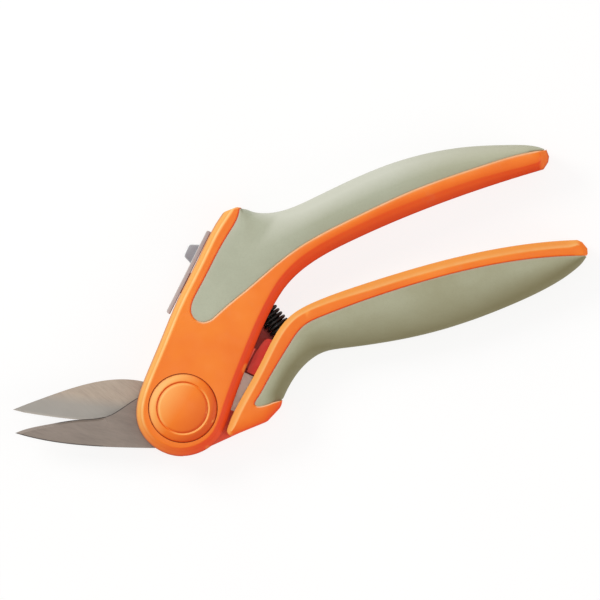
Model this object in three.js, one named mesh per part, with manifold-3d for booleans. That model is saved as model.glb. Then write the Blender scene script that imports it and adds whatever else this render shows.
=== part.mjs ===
// Floral snips: short pointed blades set at an angle to a pistol-like body, two soft-gripped
// handles, a coil return spring, and a slide lock on the -X edge of the body.
// Millimetres. The tool lies flat, blades to -X, handles to +X. Front is +Z, rear is -Z.
// Origin: on the pivot axis, in the plane of the rear pivot cap, the face the tool rests on.
import * as THREE from 'three';
import { mergeVertices } from 'three/addons/utils/BufferGeometryUtils.js';
import Module from 'manifold-3d';

// ---------------------------------------------------------------- driving dimensions
const MID = 11;                 // height of the shear plane, where the two covers part
const FACE = 10;                // half thickness of body and handles
const UNDER_FACE = FACE - 2;    // half thickness of the core under the soft grips
const ROOM = 7;                 // half height of the hollow in the body
const HANDLE_ROOM = 5.4;        // half height of the hollow in the upper handle
const WALL = 2.6;               // side walls of the two covers
const PARTING = 0.05;           // each cover's distance from the shear plane
const CLEAR = 0.15;             // assembly clearance
const SINK = 0.2;               // how far posts sink into the floor they stand on
const LEAN = 63.4;              // lean of the body from +X, degrees

const SKIN = 2.2;               // thickness of the soft grip where it wraps the edge
const GRIP_FACE = 9.9;          // half thickness of the soft grips
const GRIP_WAIST = 3.5;         // half height of their straight waist
const GRIP_ROUND = 6.5;         // width over which they round in to the faces
const GRIP_GAP = 0.18;          // gap beside the soft grips
const GRIP_LIFT = 0.16;         // gap between the soft grips and the core's faces

const BLADE = 2.0;              // blade thickness
const BEVEL = 1.7;              // width of the ground cutting bevel
const LAND = 0.25;              // flat left on the cutting edge below the bevel
const SHEAR = 0.1;              // each blade's distance from the shear plane
const BLADE_HOLE_R = 1.65;      // dowel and pin holes in the blades

const BOLT_R = 3.5;             // pivot bolt shank
const BOLT_HEAD_R = 5.9;
const CAP_R = 12.85;            // pivot caps
const HUB_R = 8.5;              // bosses round the bolt inside the covers
const FRONT_RECESS = 19.2;      // floor heights of the pivot cap recesses
const REAR_RECESS = 2.4;
const FRONT_SEAT = 16.5;        // height where the bolt head seats
const REAR_SEAT = 4.6;          // height where the nut and the screw heads seat

const SPRING_R = 4.05;          // coil radius, at the middle of the wire
const WIRE_R = 0.56;
const SPRING_LENGTH = 17;
const SPRING_HALF = SPRING_LENGTH / 2;
const SPRING_TURNS = 10.5;
const SPRING_DIR = -50;         // direction of the spring from body to lower handle, degrees
const SPRING_AT = [33.9, 32.86]; // middle of the spring
const STUB_R = 2.5;             // stubs that enter the spring's ends
const STUB_REACH = 2.6;         // how far they enter
const STUB_ROOT = 1;            // how far they run on behind the spring's ends

// ---------------------------------------------------------------- outlines: x, y
// Body and upper handle, from the body's top corner down the -X edge, round the pivot,
// up the other edge and out along the handle.
const BODY_EDGE = [
  [14.85, 72.9], [12.45, 69.3], [10.25, 65.39], [8.1, 61.08], [5.9, 56.46], [3.66, 51.93],
  [1.33, 47.35], [-0.96, 42.83], [-3, 38.49], [-4.92, 33.99], [-6.83, 29.25], [-8.75, 24.51],
  [-10.73, 19.78], [-12.74, 15.02], [-14.62, 10.39], [-16.16, 6.13], [-17.12, 2.4],
  [-17.51, -1.06], [-17.33, -4.23], [-16.61, -7.04], [-15.33, -9.68], [-13.47, -12.16],
  [-11.13, -14.33], [-8.42, -16.08], [-5.5, -17.31], [-2.5, -17.97], [0.59, -18.05],
  [3.76, -17.56], [6.83, -16.52], [9.62, -14.99], [12, -13.05], [13.93, -10.75], [15.4, -7.9],
  [16.85, -4.13], [18.4, 0.65], [20.05, 5.43], [21.8, 10.13], [23.64, 14.87], [25.55, 19.65],
  [27.5, 24.47], [29.45, 29.13], [31.5, 33.6], [33.68, 37.85], [35.97, 41.79], [38.27, 45.22],
  [40.77, 48.2], [43.7, 50.98], [47.04, 53.61], [50.72, 56.07], [54.68, 58.39], [58.92, 60.6],
  [63.42, 62.79], [68.02, 64.94], [72.66, 67.03], [77.32, 69.06], [82.02, 71.04],
  [86.74, 72.96], [91.49, 74.83], [96.26, 76.65], [101.06, 78.41], [105.88, 80.13],
  [110.73, 81.8], [115.59, 83.43], [120.47, 85.01], [125.37, 86.55], [130.29, 88.05],
  [135.23, 89.51],
];
// The handle's end and back along its top.
const HANDLE_TOP = [
  [137.36, 94.65], [136.24, 96.9], [133.22, 97.94], [129.65, 98.53], [125.4, 98.7],
  [120.32, 98.64], [115.24, 98.52], [110.33, 98.27], [105.54, 97.86], [100.76, 97.25],
  [95.99, 96.45], [91.25, 95.47], [86.54, 94.3], [81.89, 92.96], [77.31, 91.45],
  [72.75, 89.74], [68.18, 87.86], [63.58, 85.83], [58.96, 83.67], [54.28, 81.42],
  [49.55, 79.12], [45.04, 76.97], [40.92, 75.23], [37.08, 73.99], [33.44, 73.28],
  [29.92, 73.12], [26.56, 73.49], [23.6, 74.55], [21.4, 75.3], [19.7, 75.4],
];
// Where the soft grip meets the orange body, from the top corner down, round the grip's
// lower tip and out to the handle's end.
const UPPER_GRIP_LINE = [
  [21.3, 74.81], [20.62, 71.92], [19.22, 68.91], [16.87, 65.07], [14.47, 61.04],
  [12.17, 56.75], [9.83, 52.12], [7.49, 47.55], [5.12, 43.17], [3.6, 39.95], [3.06, 37.54],
  [3.16, 35.58], [4.59, 33.25], [7.52, 32.19], [10.54, 33.14], [12.86, 35.1], [16.34, 38.22],
  [20.17, 41.38], [24.11, 44.6], [27.99, 47.92], [31.95, 51.34], [35.8, 54.57],
  [39.59, 57.55], [43.39, 60.24], [47.38, 62.75], [51.58, 65.13], [55.98, 67.44],
  [60.56, 69.71], [65.29, 72.01], [70.02, 74.31], [74.71, 76.55], [79.35, 78.7],
  [83.97, 80.73], [88.58, 82.63], [93.27, 84.42], [98.07, 86.14], [102.95, 87.82],
  [107.92, 89.48], [112.93, 91.14], [117.79, 92.72], [122.51, 94.12], [127.11, 95.28],
  [131.59, 96.14], [135.98, 96.68],
];
// Lower handle: from the lower tip up the edge that faces the body and out to the end,
const INNER_EDGE = [
  [16.6, -7.87], [18.05, -3.9], [19.9, 0.07], [22.15, 4.22], [24.67, 8.62], [27.11, 12.96],
  [29.36, 17.22], [31.57, 21.71], [33.8, 26.01], [35.95, 29.55], [38.0, 32.2], [40.15, 34.4],
  [42.95, 36.5], [46.54, 38.5], [50.8, 40.4], [55.25, 42.17], [59.87, 43.84], [64.65, 45.46],
  [69.53, 47.06], [74.4, 48.63], [79.27, 50.14], [84.14, 51.61], [89.02, 53.01],
  [93.89, 54.35], [98.77, 55.62], [103.66, 56.8], [108.55, 57.91], [113.44, 58.92],
  [118.34, 59.84], [123.24, 60.66], [128.15, 61.37], [133.05, 61.96], [137.95, 62.43],
  [142.85, 62.79], [147.75, 63.01],
];
// back along the outside,
const OUTER_EDGE = [
  [151.88, 59.7], [152.02, 57], [149.47, 54.07], [146.49, 51.4], [143.07, 48.88],
  [139.23, 46.49], [135.1, 44.22], [130.77, 42.07], [126.26, 40.02], [121.6, 38.02],
  [116.92, 36.11], [112.22, 34.3], [107.5, 32.61], [102.76, 31.03], [98.01, 29.58],
  [93.24, 28.27], [88.44, 27.1], [83.57, 26.06], [78.64, 25.12], [73.66, 24.29],
  [68.63, 23.53], [63.55, 22.85], [58.47, 22.21], [54.57, 21.51], [51.63, 20.46],
  [48.83, 18.82], [46.1, 16.57], [43.54, 13.79], [41.24, 10.59], [39.18, 6.98], [37.35, 3],
];
// and round the wedge at the bottom.
const WEDGE_EDGE = [
  [36.95, 1.2], [36.4, 0.1], [35.6, -0.85], [34.5, -2.0], [32.79, -3.85], [31.9, -4.8],
  [31.15, -5.28], [29.05, -6.18], [26.67, -7.15], [24.05, -8.22], [21.62, -9.21],
  [19.81, -9.95], [18.6, -10.4], [17.5, -10.2], [16.75, -9.4],
];
// Where the soft grip meets the orange core, from the handle's end to the wedge.
const LOWER_GRIP_LINE = [
  [151.31, 57.15], [146.39, 57.11], [141.49, 56.92], [136.58, 56.58], [131.66, 56.11],
  [126.74, 55.5], [121.82, 54.77], [116.9, 53.92], [111.98, 52.96], [107.07, 51.89],
  [102.17, 50.73], [97.27, 49.48], [92.38, 48.14], [87.49, 46.72], [82.6, 45.24],
  [77.72, 43.69], [72.86, 42.08], [68.03, 40.42], [63.23, 38.69], [58.46, 36.91],
  [53.69, 35.05], [49.32, 33.25], [46.34, 31.62], [44.05, 29.72], [41.94, 27.15],
  [39.58, 23.48], [36.87, 19.08], [34.27, 14.79], [31.8, 10.46], [29.34, 5.97],
  [26.85, 1.39], [27.94, 0.68], [31.27, 1.2], [33.98, 2.18], [37.27, 2.93],
];
// Blades, in the open position: tops run from tip to hub, bottoms from hub to tip.
const FIXED_BLADE_TOP = [
  [-63.08, -9.45], [-59.53, -8.13], [-55.47, -7.12], [-50.66, -6.2], [-45.72, -5.28],
  [-41.23, -4.62], [-36.79, -4.29], [-32.43, -3.96], [-29.07, -3.27], [-26.26, -2.15],
  [-23.17, -0.23], [-19.42, 2.35], [-16.5, 4.1], [-14.6, 4.8],
];
const FIXED_BLADE_BOTTOM = [
  [-3.5, -14.4], [-6.2, -14.9], [-10.12, -15.07], [-15.81, -14.98], [-21.43, -14.86],
  [-26.95, -14.69], [-32.39, -14.43], [-37.75, -14.04], [-43.01, -13.52], [-48.18, -12.82],
  [-53.24, -11.92], [-58.19, -10.81],
];
const MOVING_BLADE_TOP = [
  [-63.9, -0.67], [-58.67, 1.42], [-53.22, 3.44], [-47.64, 5.44], [-42.3, 7.23],
  [-37.15, 8.71], [-32.14, 9.83], [-27.28, 10.52], [-22.6, 10.73], [-18.12, 10.43],
  [-13.87, 9.6], [-10.6, 8.4],
];
const MOVING_BLADE_BOTTOM = [
  [-9.6, -8.9], [-14, -8.3], [-20, -6.9], [-26, -5.5], [-30, -4.95], [-34.12, -4.61],
  [-39.42, -4.4], [-43.23, -4.05], [-48.26, -3.46], [-54.03, -2.64], [-59.71, -1.74],
];

// ---------------------------------------------------------------- solids and meshes
const wasm = await Module();
wasm.setup();

const solid = (shape) => {
  const positions = (shape.index ? shape.toNonIndexed() : shape).getAttribute('position');
  const bare = new THREE.BufferGeometry().setAttribute('position', positions);
  const merged = mergeVertices(bare, 1e-4);
  return new wasm.Manifold(new wasm.Mesh({
    numProp: 3,
    vertProperties: new Float32Array(merged.attributes.position.array),
    triVerts: new Uint32Array(merged.index.array),
  }));
};
const solidFromCorners = (corners) => {
  const positions = new THREE.Float32BufferAttribute(corners.flat(), 3);
  return solid(new THREE.BufferGeometry().setAttribute('position', positions));
};
const addPiece = (group, name, material, piece) => {
  const { vertProperties, triVerts } = piece.simplify(0.03).getMesh();
  const geometry = new THREE.BufferGeometry()
    .setAttribute('position', new THREE.Float32BufferAttribute(vertProperties, 3))
    .setIndex(new THREE.Uint32BufferAttribute(triVerts, 1))
    .toNonIndexed();
  geometry.computeVertexNormals();
  const mesh = new THREE.Mesh(geometry, material);
  mesh.name = name;
  group.add(mesh);
};
const join = (...pieces) => pieces.reduce((sum, piece) => sum.add(piece));
const cut = (piece, ...tools) => tools.reduce((rest, tool) => rest.subtract(tool), piece);

// ---------------------------------------------------------------- plane geometry
const radians = THREE.MathUtils.degToRad;
const vectors = (points) => points.map(([x, y]) => new THREE.Vector2(x, y));
const counterclockwise = (outline) =>
  (THREE.ShapeUtils.isClockWise(vectors(outline)) ? [...outline].reverse() : outline);
const rectangle = (x0, x1, y0, y1) => [[x0, y0], [x1, y0], [x1, y1], [x0, y1]];
// points on a circle round the pivot, angles in degrees
const arc = (radius, from, to, steps) => Array.from({ length: steps + 1 }, (_, i) => {
  const angle = radians(from + ((to - from) * i) / steps);
  return [radius * Math.cos(angle), radius * Math.sin(angle)];
});
// body frame: u runs up the body from the pivot, v across it towards the lower handle
const LEAN_COS = Math.cos(radians(LEAN)), LEAN_SIN = Math.sin(radians(LEAN));
const onBody = (points) =>
  points.map(([u, v]) => [u * LEAN_COS + v * LEAN_SIN, u * LEAN_SIN - v * LEAN_COS]);

// twice the signed area of a triangle, positive when `point` is left of start to end
const turn = ([x0, y0], [x1, y1], [x, y]) => (x1 - x0) * (y - y0) - (y1 - y0) * (x - x0);
const span = ([x0, y0], [x1, y1]) => Math.hypot(x1 - x0, y1 - y0);

// distance from a point to a closed outline
function distance([x, y], outline) {
  return Math.min(...outline.map(([x0, y0], i) => {
    const [x1, y1] = outline[(i + 1) % outline.length];
    const runX = x1 - x0, runY = y1 - y0;
    const share = ((x - x0) * runX + (y - y0) * runY) / (runX * runX + runY * runY || 1);
    const held = Math.max(0, Math.min(1, share));
    return Math.hypot(x - x0 - held * runX, y - y0 - held * runY);
  }));
}
// the closed outline without the points that lie within `tolerance` of its course
function thin(outline, tolerance = 0.035) {
  const count = outline.length;
  const walk = (from, to) => {
    const start = outline[from], end = outline[to % count], length = span(start, end) || 1;
    let worst = tolerance, pick = -1;
    for (let k = from + 1; k < to; k++) {
      const offset = Math.abs(turn(start, end, outline[k])) / length;
      if (offset > worst) [worst, pick] = [offset, k];
    }
    if (pick < 0) return;
    kept.add(pick);
    walk(from, pick);
    walk(pick, to);
  };
  const reach = outline.map((point) => span(outline[0], point));
  const far = reach.reduce((best, length, i) => (length > reach[best] ? i : best), 0);
  const kept = new Set([0, far]);
  walk(0, far);
  walk(far, count);
  return [...kept].sort((a, b) => a - b).map((i) => outline[i]);
}
// the outline moved in by `depth`, or out if negative, dropping points that fall inside
// another edge's strip
function inset(outline, depth, tolerance = 0.06) {
  const loop = counterclockwise(outline), moved = [];
  loop.forEach(([x0, y0], i) => {
    const [x1, y1] = loop[(i + 1) % loop.length];
    const length = Math.hypot(x1 - x0, y1 - y0), steps = Math.max(1, Math.ceil(length / 0.7));
    const shiftX = (-(y1 - y0) / length) * depth, shiftY = ((x1 - x0) / length) * depth;
    for (let k = 0; k < steps; k++) {
      const x = x0 + ((x1 - x0) * (k + 0.5)) / steps + shiftX;
      const y = y0 + ((y1 - y0) * (k + 0.5)) / steps + shiftY;
      if (distance([x, y], loop) > Math.abs(depth) - 0.02) moved.push([x, y]);
    }
  });
  return thin(moved, tolerance);
}
const edgeKey = (a, b) => (a < b ? a + '_' + b : b + '_' + a);
// positive when `point` is inside the circle through the other three
function inCircle(a, b, c, point) {
  const [[x1, y1], [x2, y2], [x3, y3]] = [a, b, c].map(([x, y]) => [x - point[0], y - point[1]]);
  return (x1 * x1 + y1 * y1) * (x2 * y3 - x3 * y2)
    - (x2 * x2 + y2 * y2) * (x1 * y3 - x3 * y1)
    + (x3 * x3 + y3 * y3) * (x1 * y2 - x2 * y1);
}
// turns the shared edges of a flat triangulation until no triangle is needlessly thin
function relax(points, faces, fixed) {
  const result = faces.map(([a, b, c]) =>
    (turn(points[a], points[b], points[c]) > 0 ? [a, b, c] : [a, c, b]));
  for (let pass = 0; pass < 60; pass++) {
    const edges = new Map(), used = new Set();
    result.forEach((face, i) => face.forEach((corner, k) => {
      const key = edgeKey(corner, face[(k + 1) % 3]);
      edges.set(key, [...(edges.get(key) || []), [i, k]]);
    }));
    for (const [key, sides] of edges) {
      if (sides.length !== 2 || fixed.has(key) || sides.some(([i]) => used.has(i))) continue;
      const [[i, k], [j, m]] = sides;
      const [start, end, left] = [0, 1, 2].map((step) => result[i][(k + step) % 3]);
      const right = result[j][(m + 2) % 3];
      const [atStart, atEnd, atLeft, atRight] = [start, end, left, right].map((n) => points[n]);
      if (turn(atLeft, atRight, atEnd) <= 1e-6 || turn(atRight, atLeft, atStart) <= 1e-6) continue;
      if (inCircle(atStart, atEnd, atLeft, atRight) <= 1e-6) continue;
      result[i] = [left, right, end];
      result[j] = [right, left, start];
      used.add(i).add(j);
    }
    if (!used.size) break;
  }
  return result;
}

// ---------------------------------------------------------------- shapes; heights are [z0, z1]
const about = (half) => [MID - half, MID + half];
const THROUGH = [-2, 24];       // heights of area cuts, past both faces
const BORE = [0, 30];           // heights of round through cuts
const DEEP = -5;                // where cuts from the rear start
const HIGH = 30;                // where cuts from the front end

const extruded = (outline, options) =>
  new THREE.ExtrudeGeometry(new THREE.Shape(vectors(outline)), { bevelEnabled: false, ...options });
const prism = (outline, [z0, z1]) =>
  solid(extruded(outline, { depth: z1 - z0 }).translate(0, 0, z0));
const rod = ([x, y], radius, [z0, z1], sides) => {
  const cylinder = new THREE.CylinderGeometry(radius, radius, z1 - z0, sides);
  return solid(cylinder.rotateX(Math.PI / 2).translate(x, y, (z0 + z1) / 2));
};
const rods = (places, ...size) => places.map((place) => rod(place, ...size));
const pivotRod = (...size) => rod([0, 0], ...size);
const turned = (profile) =>
  solid(new THREE.LatheGeometry(vectors(profile), 40).rotateX(Math.PI / 2));

// a closed solid through a stack of { outline, z }, lowest first; each outline is inside or
// equal to its wider neighbour
function stacked(levels) {
  const corners = [];
  const add = (a, b, c, up) => corners.push(...(turn(a, b, c) > 0 === up ? [a, b, c] : [a, c, b]));
  const raised = ({ outline, z }) => outline.map((point) => [...point, z]);
  const cap = (level, up) => {
    const points = raised(level);
    THREE.ShapeUtils.triangulateShape(vectors(level.outline), [])
      .forEach((face) => add(...face.map((i) => points[i]), up));
  };
  const wall = (lower, upper) => lower.outline.forEach((point, k) => {
    const next = lower.outline[(k + 1) % lower.outline.length];
    const low = [...point, lower.z], high = [...next, upper.z];
    corners.push(low, [...next, lower.z], high, low, high, [...point, upper.z]);
  });
  const slope = (lower, upper) => {
    const [lowerArea, upperArea] = [lower, upper]
      .map(({ outline }) => Math.abs(THREE.ShapeUtils.area(vectors(outline))));
    const grows = upperArea > lowerArea;
    const [wide, narrow] = grows ? [upper, lower] : [lower, upper];
    const hole = raised(narrow).reverse();
    const points = [...raised(wide), ...hole], fixed = new Set();
    const fix = (start, count) => {
      for (let k = 0; k < count; k++) fixed.add(edgeKey(start + k, start + ((k + 1) % count)));
    };
    fix(0, wide.outline.length);
    fix(wide.outline.length, hole.length);
    const faces = THREE.ShapeUtils.triangulateShape(vectors(wide.outline), [vectors(hole)]);
    relax(points, faces, fixed).forEach((face) => add(...face.map((k) => points[k]), !grows));
  };
  cap(levels[0], false);
  for (let i = 0; i + 1 < levels.length; i++) {
    const straight = levels[i].outline === levels[i + 1].outline;
    (straight ? wall : slope)(levels[i], levels[i + 1]);
  }
  cap(levels[levels.length - 1], true);
  return solidFromCorners(corners);
}
function chamfered(shape, half, chamfer) {
  const outline = counterclockwise(shape), face = inset(outline, chamfer);
  return stacked([
    { outline: face, z: MID - half },
    { outline, z: MID - half + chamfer },
    { outline, z: MID + half - chamfer },
    { outline: face, z: MID + half },
  ]);
}
// a soft pad: straight at the waist, rounded in towards both faces
function cushioned(shape) {
  const outline = counterclockwise(shape);
  const rings = [50, 90].map(radians).map((angle) => ({
    outline: inset(outline, GRIP_ROUND * (1 - Math.cos(angle)), 0.07),
    rise: GRIP_WAIST + (GRIP_FACE - GRIP_WAIST) * Math.sin(angle),
  }));
  const levels = [{ outline, rise: GRIP_WAIST }, ...rings];
  return stacked([
    ...[...levels].reverse().map((level) => ({ outline: level.outline, z: MID - level.rise })),
    ...levels.map((level) => ({ outline: level.outline, z: MID + level.rise })),
  ]);
}
// what a grinder takes off a cutting edge: `edge` runs with the blade on its left, the bevel
// starts at height zEdge and runs out on the face at zFace, BEVEL in from the edge
function ground(edge, zEdge, zFace) {
  const outside = 1, past = 1.1; // reach beyond the edge, and overrun beyond the face
  const rise = zFace - zEdge, low = zEdge - (rise / BEVEL) * outside, high = zEdge + rise * past;
  const rows = edge.map(([x, y], i) => {
    const [x0, y0] = edge[Math.max(0, i - 1)], [x1, y1] = edge[Math.min(edge.length - 1, i + 1)];
    const length = Math.hypot(x1 - x0, y1 - y0);
    const leftX = -(y1 - y0) / length, leftY = (x1 - x0) / length;
    const outer = [x - leftX * outside, y - leftY * outside];
    const inner = [x + leftX * BEVEL * past, y + leftY * BEVEL * past];
    return [[...outer, low], [...inner, high], [...outer, high]];
  });
  const faces = [];
  for (let i = 0; i + 1 < rows.length; i++) {
    for (let k = 0; k < 3; k++) {
      const next = (k + 1) % 3, near = rows[i], far = rows[i + 1];
      faces.push([near[k], near[next], far[next]], [near[k], far[next], far[k]]);
    }
  }
  const [first] = rows;
  faces.push([first[0], first[2], first[1]], rows[rows.length - 1]);
  return solidFromCorners(faces.flatMap(([a, b, c]) => (rise > 0 ? [a, b, c] : [a, c, b])));
}

// ---------------------------------------------------------------- materials
const material = (settings) => new THREE.MeshStandardMaterial(settings);
const ORANGE = material({ color: 0xf48232, roughness: 0.42 });
const SAGE = material({ color: 0xaeb19b, roughness: 0.75 });
const SLATE = material({ color: 0x9b999c, roughness: 0.45 });
const STEEL = material({ color: 0x9d9690, roughness: 0.35, metalness: 1 });
const BRIGHT = material({ color: 0xb9b9bb, roughness: 0.3, metalness: 1 });
const ZINC = material({ color: 0xa8a49c, roughness: 0.35, metalness: 1 });
const BLACK = material({ color: 0x15140f, roughness: 0.4, metalness: 0.6 });

const snips = new THREE.Group();
const body = new THREE.Group();         // covers, fixed blade, pivot hardware and spring
const handle = new THREE.Group();       // everything that swings about the pivot
const lock = new THREE.Group();         // the slide lock; its own y runs up the body
lock.rotation.z = radians(LEAN - 90);
snips.add(body, handle, lock);

// ---------------------------------------------------------------- gripped halves of the tool
// gripArea is closed round the outside of the outline; chamfers are of the bare edge and of
// the core under the grip
const UPPER = {
  outline: thin(counterclockwise([...BODY_EDGE, ...HANDLE_TOP])),
  gripArea: thin([...UPPER_GRIP_LINE, [137.6, 97.2], [139, 106], [20, 106], [21.6, 78]]),
  chamfer: 2.9,
  underChamfer: 2.6,
};
const LOWER = {
  outline: thin(counterclockwise([...INNER_EDGE, ...OUTER_EDGE, ...WEDGE_EDGE])),
  gripArea: thin([...LOWER_GRIP_LINE, [41, 2.9], [60, -4], [170, 30], [158, 57.2]]),
  chamfer: 1.9,
  underChamfer: 2.4,
};
const hardCore = ({ outline, gripArea, chamfer, underChamfer }) =>
  cut(chamfered(outline, FACE, chamfer), prism(gripArea, THROUGH))
    .add(chamfered(inset(outline, SKIN), UNDER_FACE, underChamfer));
const softGrip = ({ outline, gripArea, underChamfer }) => cut(
  cushioned(outline).intersect(prism(inset(gripArea, GRIP_GAP), THROUGH)),
  chamfered(inset(outline, SKIN - GRIP_GAP), UNDER_FACE + GRIP_LIFT, underChamfer),
);

// ---------------------------------------------------------------- spring frame
const springAxis = radians(SPRING_DIR);
const axisX = Math.cos(springAxis), axisY = Math.sin(springAxis);
// t runs along the spring from its middle towards the lower handle, w across it
const onSpring = ([t, w]) =>
  [SPRING_AT[0] + axisX * t - axisY * w, SPRING_AT[1] + axisY * t + axisX * w];
// a rod on the spring's axis, from t0 to t1
function springRod(radius, t0, t1) {
  const cylinder = new THREE.CylinderGeometry(radius, radius, t1 - t0, 24);
  const [x, y] = onSpring([(t0 + t1) / 2, 0]);
  return solid(cylinder.rotateZ(springAxis - Math.PI / 2).translate(x, y, MID));
}

// ---------------------------------------------------------------- covers
const [topScrew, lowScrew, ...DOWELS] = onBody([[52.9, 4.2], [16.6, -13.6], [16.5, -3.5], [27, -5]]);
const SCREWS = [topScrew, [21.4, 65.6], lowScrew, [62.6, 73.6], [100.2, 89.9]];
const POST_HOLE_TOP = 17.2;
const DOWEL_HOLE_R = 1.68;
const BOLT_HOLE_R = BOLT_R + CLEAR;
const CAP_HOLE_R = CAP_R + CLEAR + 0.05;

const screwPost = (place) => join(
  rod(place, 2.8, about(ROOM + SINK), 14),
  rod(place, 3.5, [MID - ROOM - 0.1, MID - ROOM + 2.4], 16),
);
// both covers in one, hollowed out, with their posts
function coverShell() {
  const bodyBlock = prism(onBody(rectangle(-25, 57, -30, 30)), THROUGH);
  const bodyRoom = prism(inset(UPPER.outline, WALL, 0.15), about(ROOM)).intersect(bodyBlock);
  const handleRoom = prism(inset(UPPER.outline, SKIN + 2.2, 0.15), about(HANDLE_ROOM));
  return join(
    cut(hardCore(UPPER), bodyRoom, handleRoom),
    ...SCREWS.map(screwPost),
    ...rods(DOWELS, 3, about(ROOM + SINK), 14),
  );
}
// the open side towards the lower handle, the blade mouth, the lock's slot and the room
// round the fixed blade
const openings = [
  prism([
    [0, -13], [0, -24], [22, -24], [30, -2], [44, 32], [46, 44], [37.6, 45.2], [31.6, 42],
    [22, 22], [12, -2], [6, -12],
  ], about(ROOM)),
  prism([
    [-4.5, -12], [-9.6, -24], [-30, -20], [-30, 16], [-15.6, 11.6], [-11, 9.9],
  ], about(BLADE + 0.45)),
  prism(onBody(rectangle(30.4, 47.1, -24, -15)), about(1.7)),
  prism([
    ...FIXED_BLADE_TOP,
    ...onBody([[20, -12], [33, -12], [33, 2], [24, 12], [22, 30], [-6, 30]]),
    ...FIXED_BLADE_BOTTOM,
  ], about(BLADE + 0.35)),
];
const everywhere = rectangle(-90, 170, -40, 120);
const frontHalf = prism(everywhere, [MID + PARTING, HIGH]);
const rearHalf = prism(everywhere, [-8, MID - PARTING]);
const shell = coverShell();

const frontCover = () => cut(
  shell.intersect(frontHalf).add(pivotRod(HUB_R, [MID + 2.8, MID + ROOM + 0.3], 28)),
  ...openings,
  pivotRod(BOLT_HOLE_R, BORE, 24),
  pivotRod(6.2, [FRONT_SEAT, HIGH], 24),
  pivotRod(CAP_HOLE_R, [FRONT_RECESS, HIGH], 40),
  ...rods(SCREWS, 1.6, [MID - 1, POST_HOLE_TOP], 12),
  ...rods(DOWELS, DOWEL_HOLE_R, [MID - 1, POST_HOLE_TOP], 12),
);
// upright plate and stub that hold the body end of the spring
const springPost = () => prism(
  rectangle(-SPRING_HALF - 2.2, -SPRING_HALF - 0.3, -4.6, 4.6).map(onSpring),
  [MID - ROOM - SINK, MID + 4.8],
).add(springRod(STUB_R, -SPRING_HALF - STUB_ROOT, -SPRING_HALF + STUB_REACH));
const rearCover = () => cut(
  shell.intersect(rearHalf).add(pivotRod(HUB_R, [3.8, 5], 28)),
  ...openings,
  pivotRod(BOLT_HOLE_R, [DEEP, 20], 24),
  pivotRod(5.9, [DEEP, REAR_SEAT], 6),
  pivotRod(CAP_HOLE_R, [DEEP, REAR_RECESS], 40),
  ...rods(SCREWS, 1.7, [DEEP, MID + 1], 12),
  ...rods(SCREWS, 2.85, [DEEP, REAR_SEAT], 16),
  ...rods(DOWELS, DOWEL_HOLE_R, [REAR_SEAT, MID + 1], 12),
).add(springPost());
addPiece(body, 'front_cover', ORANGE, frontCover());
addPiece(body, 'rear_cover', ORANGE, rearCover());

const upperGrip = softGrip(UPPER);
const upperGripRear = cut(upperGrip.intersect(rearHalf), ...rods(SCREWS, 3.0, [DEEP, 6], 16));
addPiece(body, 'upper_grip_front', SAGE, upperGrip.intersect(frontHalf));
addPiece(body, 'upper_grip_rear', SAGE, upperGripRear);

// ---------------------------------------------------------------- pivot hardware and fasteners
const FRONT_CAP_BASE = FRONT_RECESS + CLEAR, REAR_CAP_BASE = REAR_RECESS - CLEAR;
const FRONT_CAP_PROFILE = [ // radius, z
  [0, FRONT_CAP_BASE], [CAP_R, FRONT_CAP_BASE], [CAP_R, 20.7], [CAP_R - 0.5, 21.15],
  [9.9, 21.85], [9.35, 21.25], [9.0, 21.3], [8.7, 22.0], [7.8, 22.3], [4, 22.45], [0, 22.5],
];
const REAR_CAP_PROFILE = [ // radius, z
  [0, 0], [8.7, 0], [9.0, 0.7], [9.35, 0.7], [9.9, 0.3], [CAP_R - 0.6, 0.5], [CAP_R, 1.1],
  [CAP_R, REAR_CAP_BASE], [0, REAR_CAP_BASE],
];
const HEAD_BASE = REAR_SEAT - CLEAR;    // front faces of the nut and the screw heads

const pivotBolt = () => cut(
  join(
    pivotRod(BOLT_R, [2.7, 17], 24),
    pivotRod(BOLT_HEAD_R, [FRONT_SEAT + CLEAR, 19.1], 24),
  ),
  pivotRod(2.3, [17.4, 21], 6), // hexagon socket
);
const pivotNut = () =>
  cut(pivotRod(5.6, [2.6, HEAD_BASE], 6), pivotRod(BOLT_R + 0.12, [0, 9], 24));
const pivotWasher = (heights) => cut(pivotRod(7, heights, 24), pivotRod(BOLT_HOLE_R, BORE, 24));
// screw with a cross recess in its rear head
function coverScrew([x, y]) {
  const arm = 1.5, slit = 0.3, recess = [1, 3.3];
  return cut(
    join(rod([x, y], 1.45, [3, 16.6], 12), rod([x, y], 2.6, [2.4, HEAD_BASE], 16)),
    prism(rectangle(x - arm, x + arm, y - slit, y + slit), recess),
    prism(rectangle(x - slit, x + slit, y - arm, y + arm), recess),
  );
}
addPiece(body, 'pivot_cap_front', ORANGE, turned(FRONT_CAP_PROFILE));
addPiece(body, 'pivot_cap_rear', ORANGE, turned(REAR_CAP_PROFILE));
addPiece(body, 'pivot_bolt', ZINC, pivotBolt());
addPiece(body, 'pivot_nut', ZINC, pivotNut());
addPiece(body, 'pivot_washer_front', BRIGHT, pivotWasher([13.2, 13.7]));
addPiece(body, 'pivot_washer_rear', BRIGHT, pivotWasher([5.1, 5.6]));
SCREWS.forEach((place, i) => addPiece(body, `cover_screw_${i + 1}`, ZINC, coverScrew(place)));
['lower', 'upper'].forEach((end, i) =>
  addPiece(body, `blade_dowel_${end}`, ZINC, rod(DOWELS[i], 1.5, [5, 17], 12)));

// ---------------------------------------------------------------- blades
const FIXED_LAYER = [MID + SHEAR, MID + SHEAR + BLADE];
const MOVING_LAYER = [MID - SHEAR - BLADE, MID - SHEAR];
const PINS = onBody([[17.5, 25.2], [29, 24.9]]);
const FIXED_HUB_R = 13.6, MOVING_HUB_R = 13;

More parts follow.
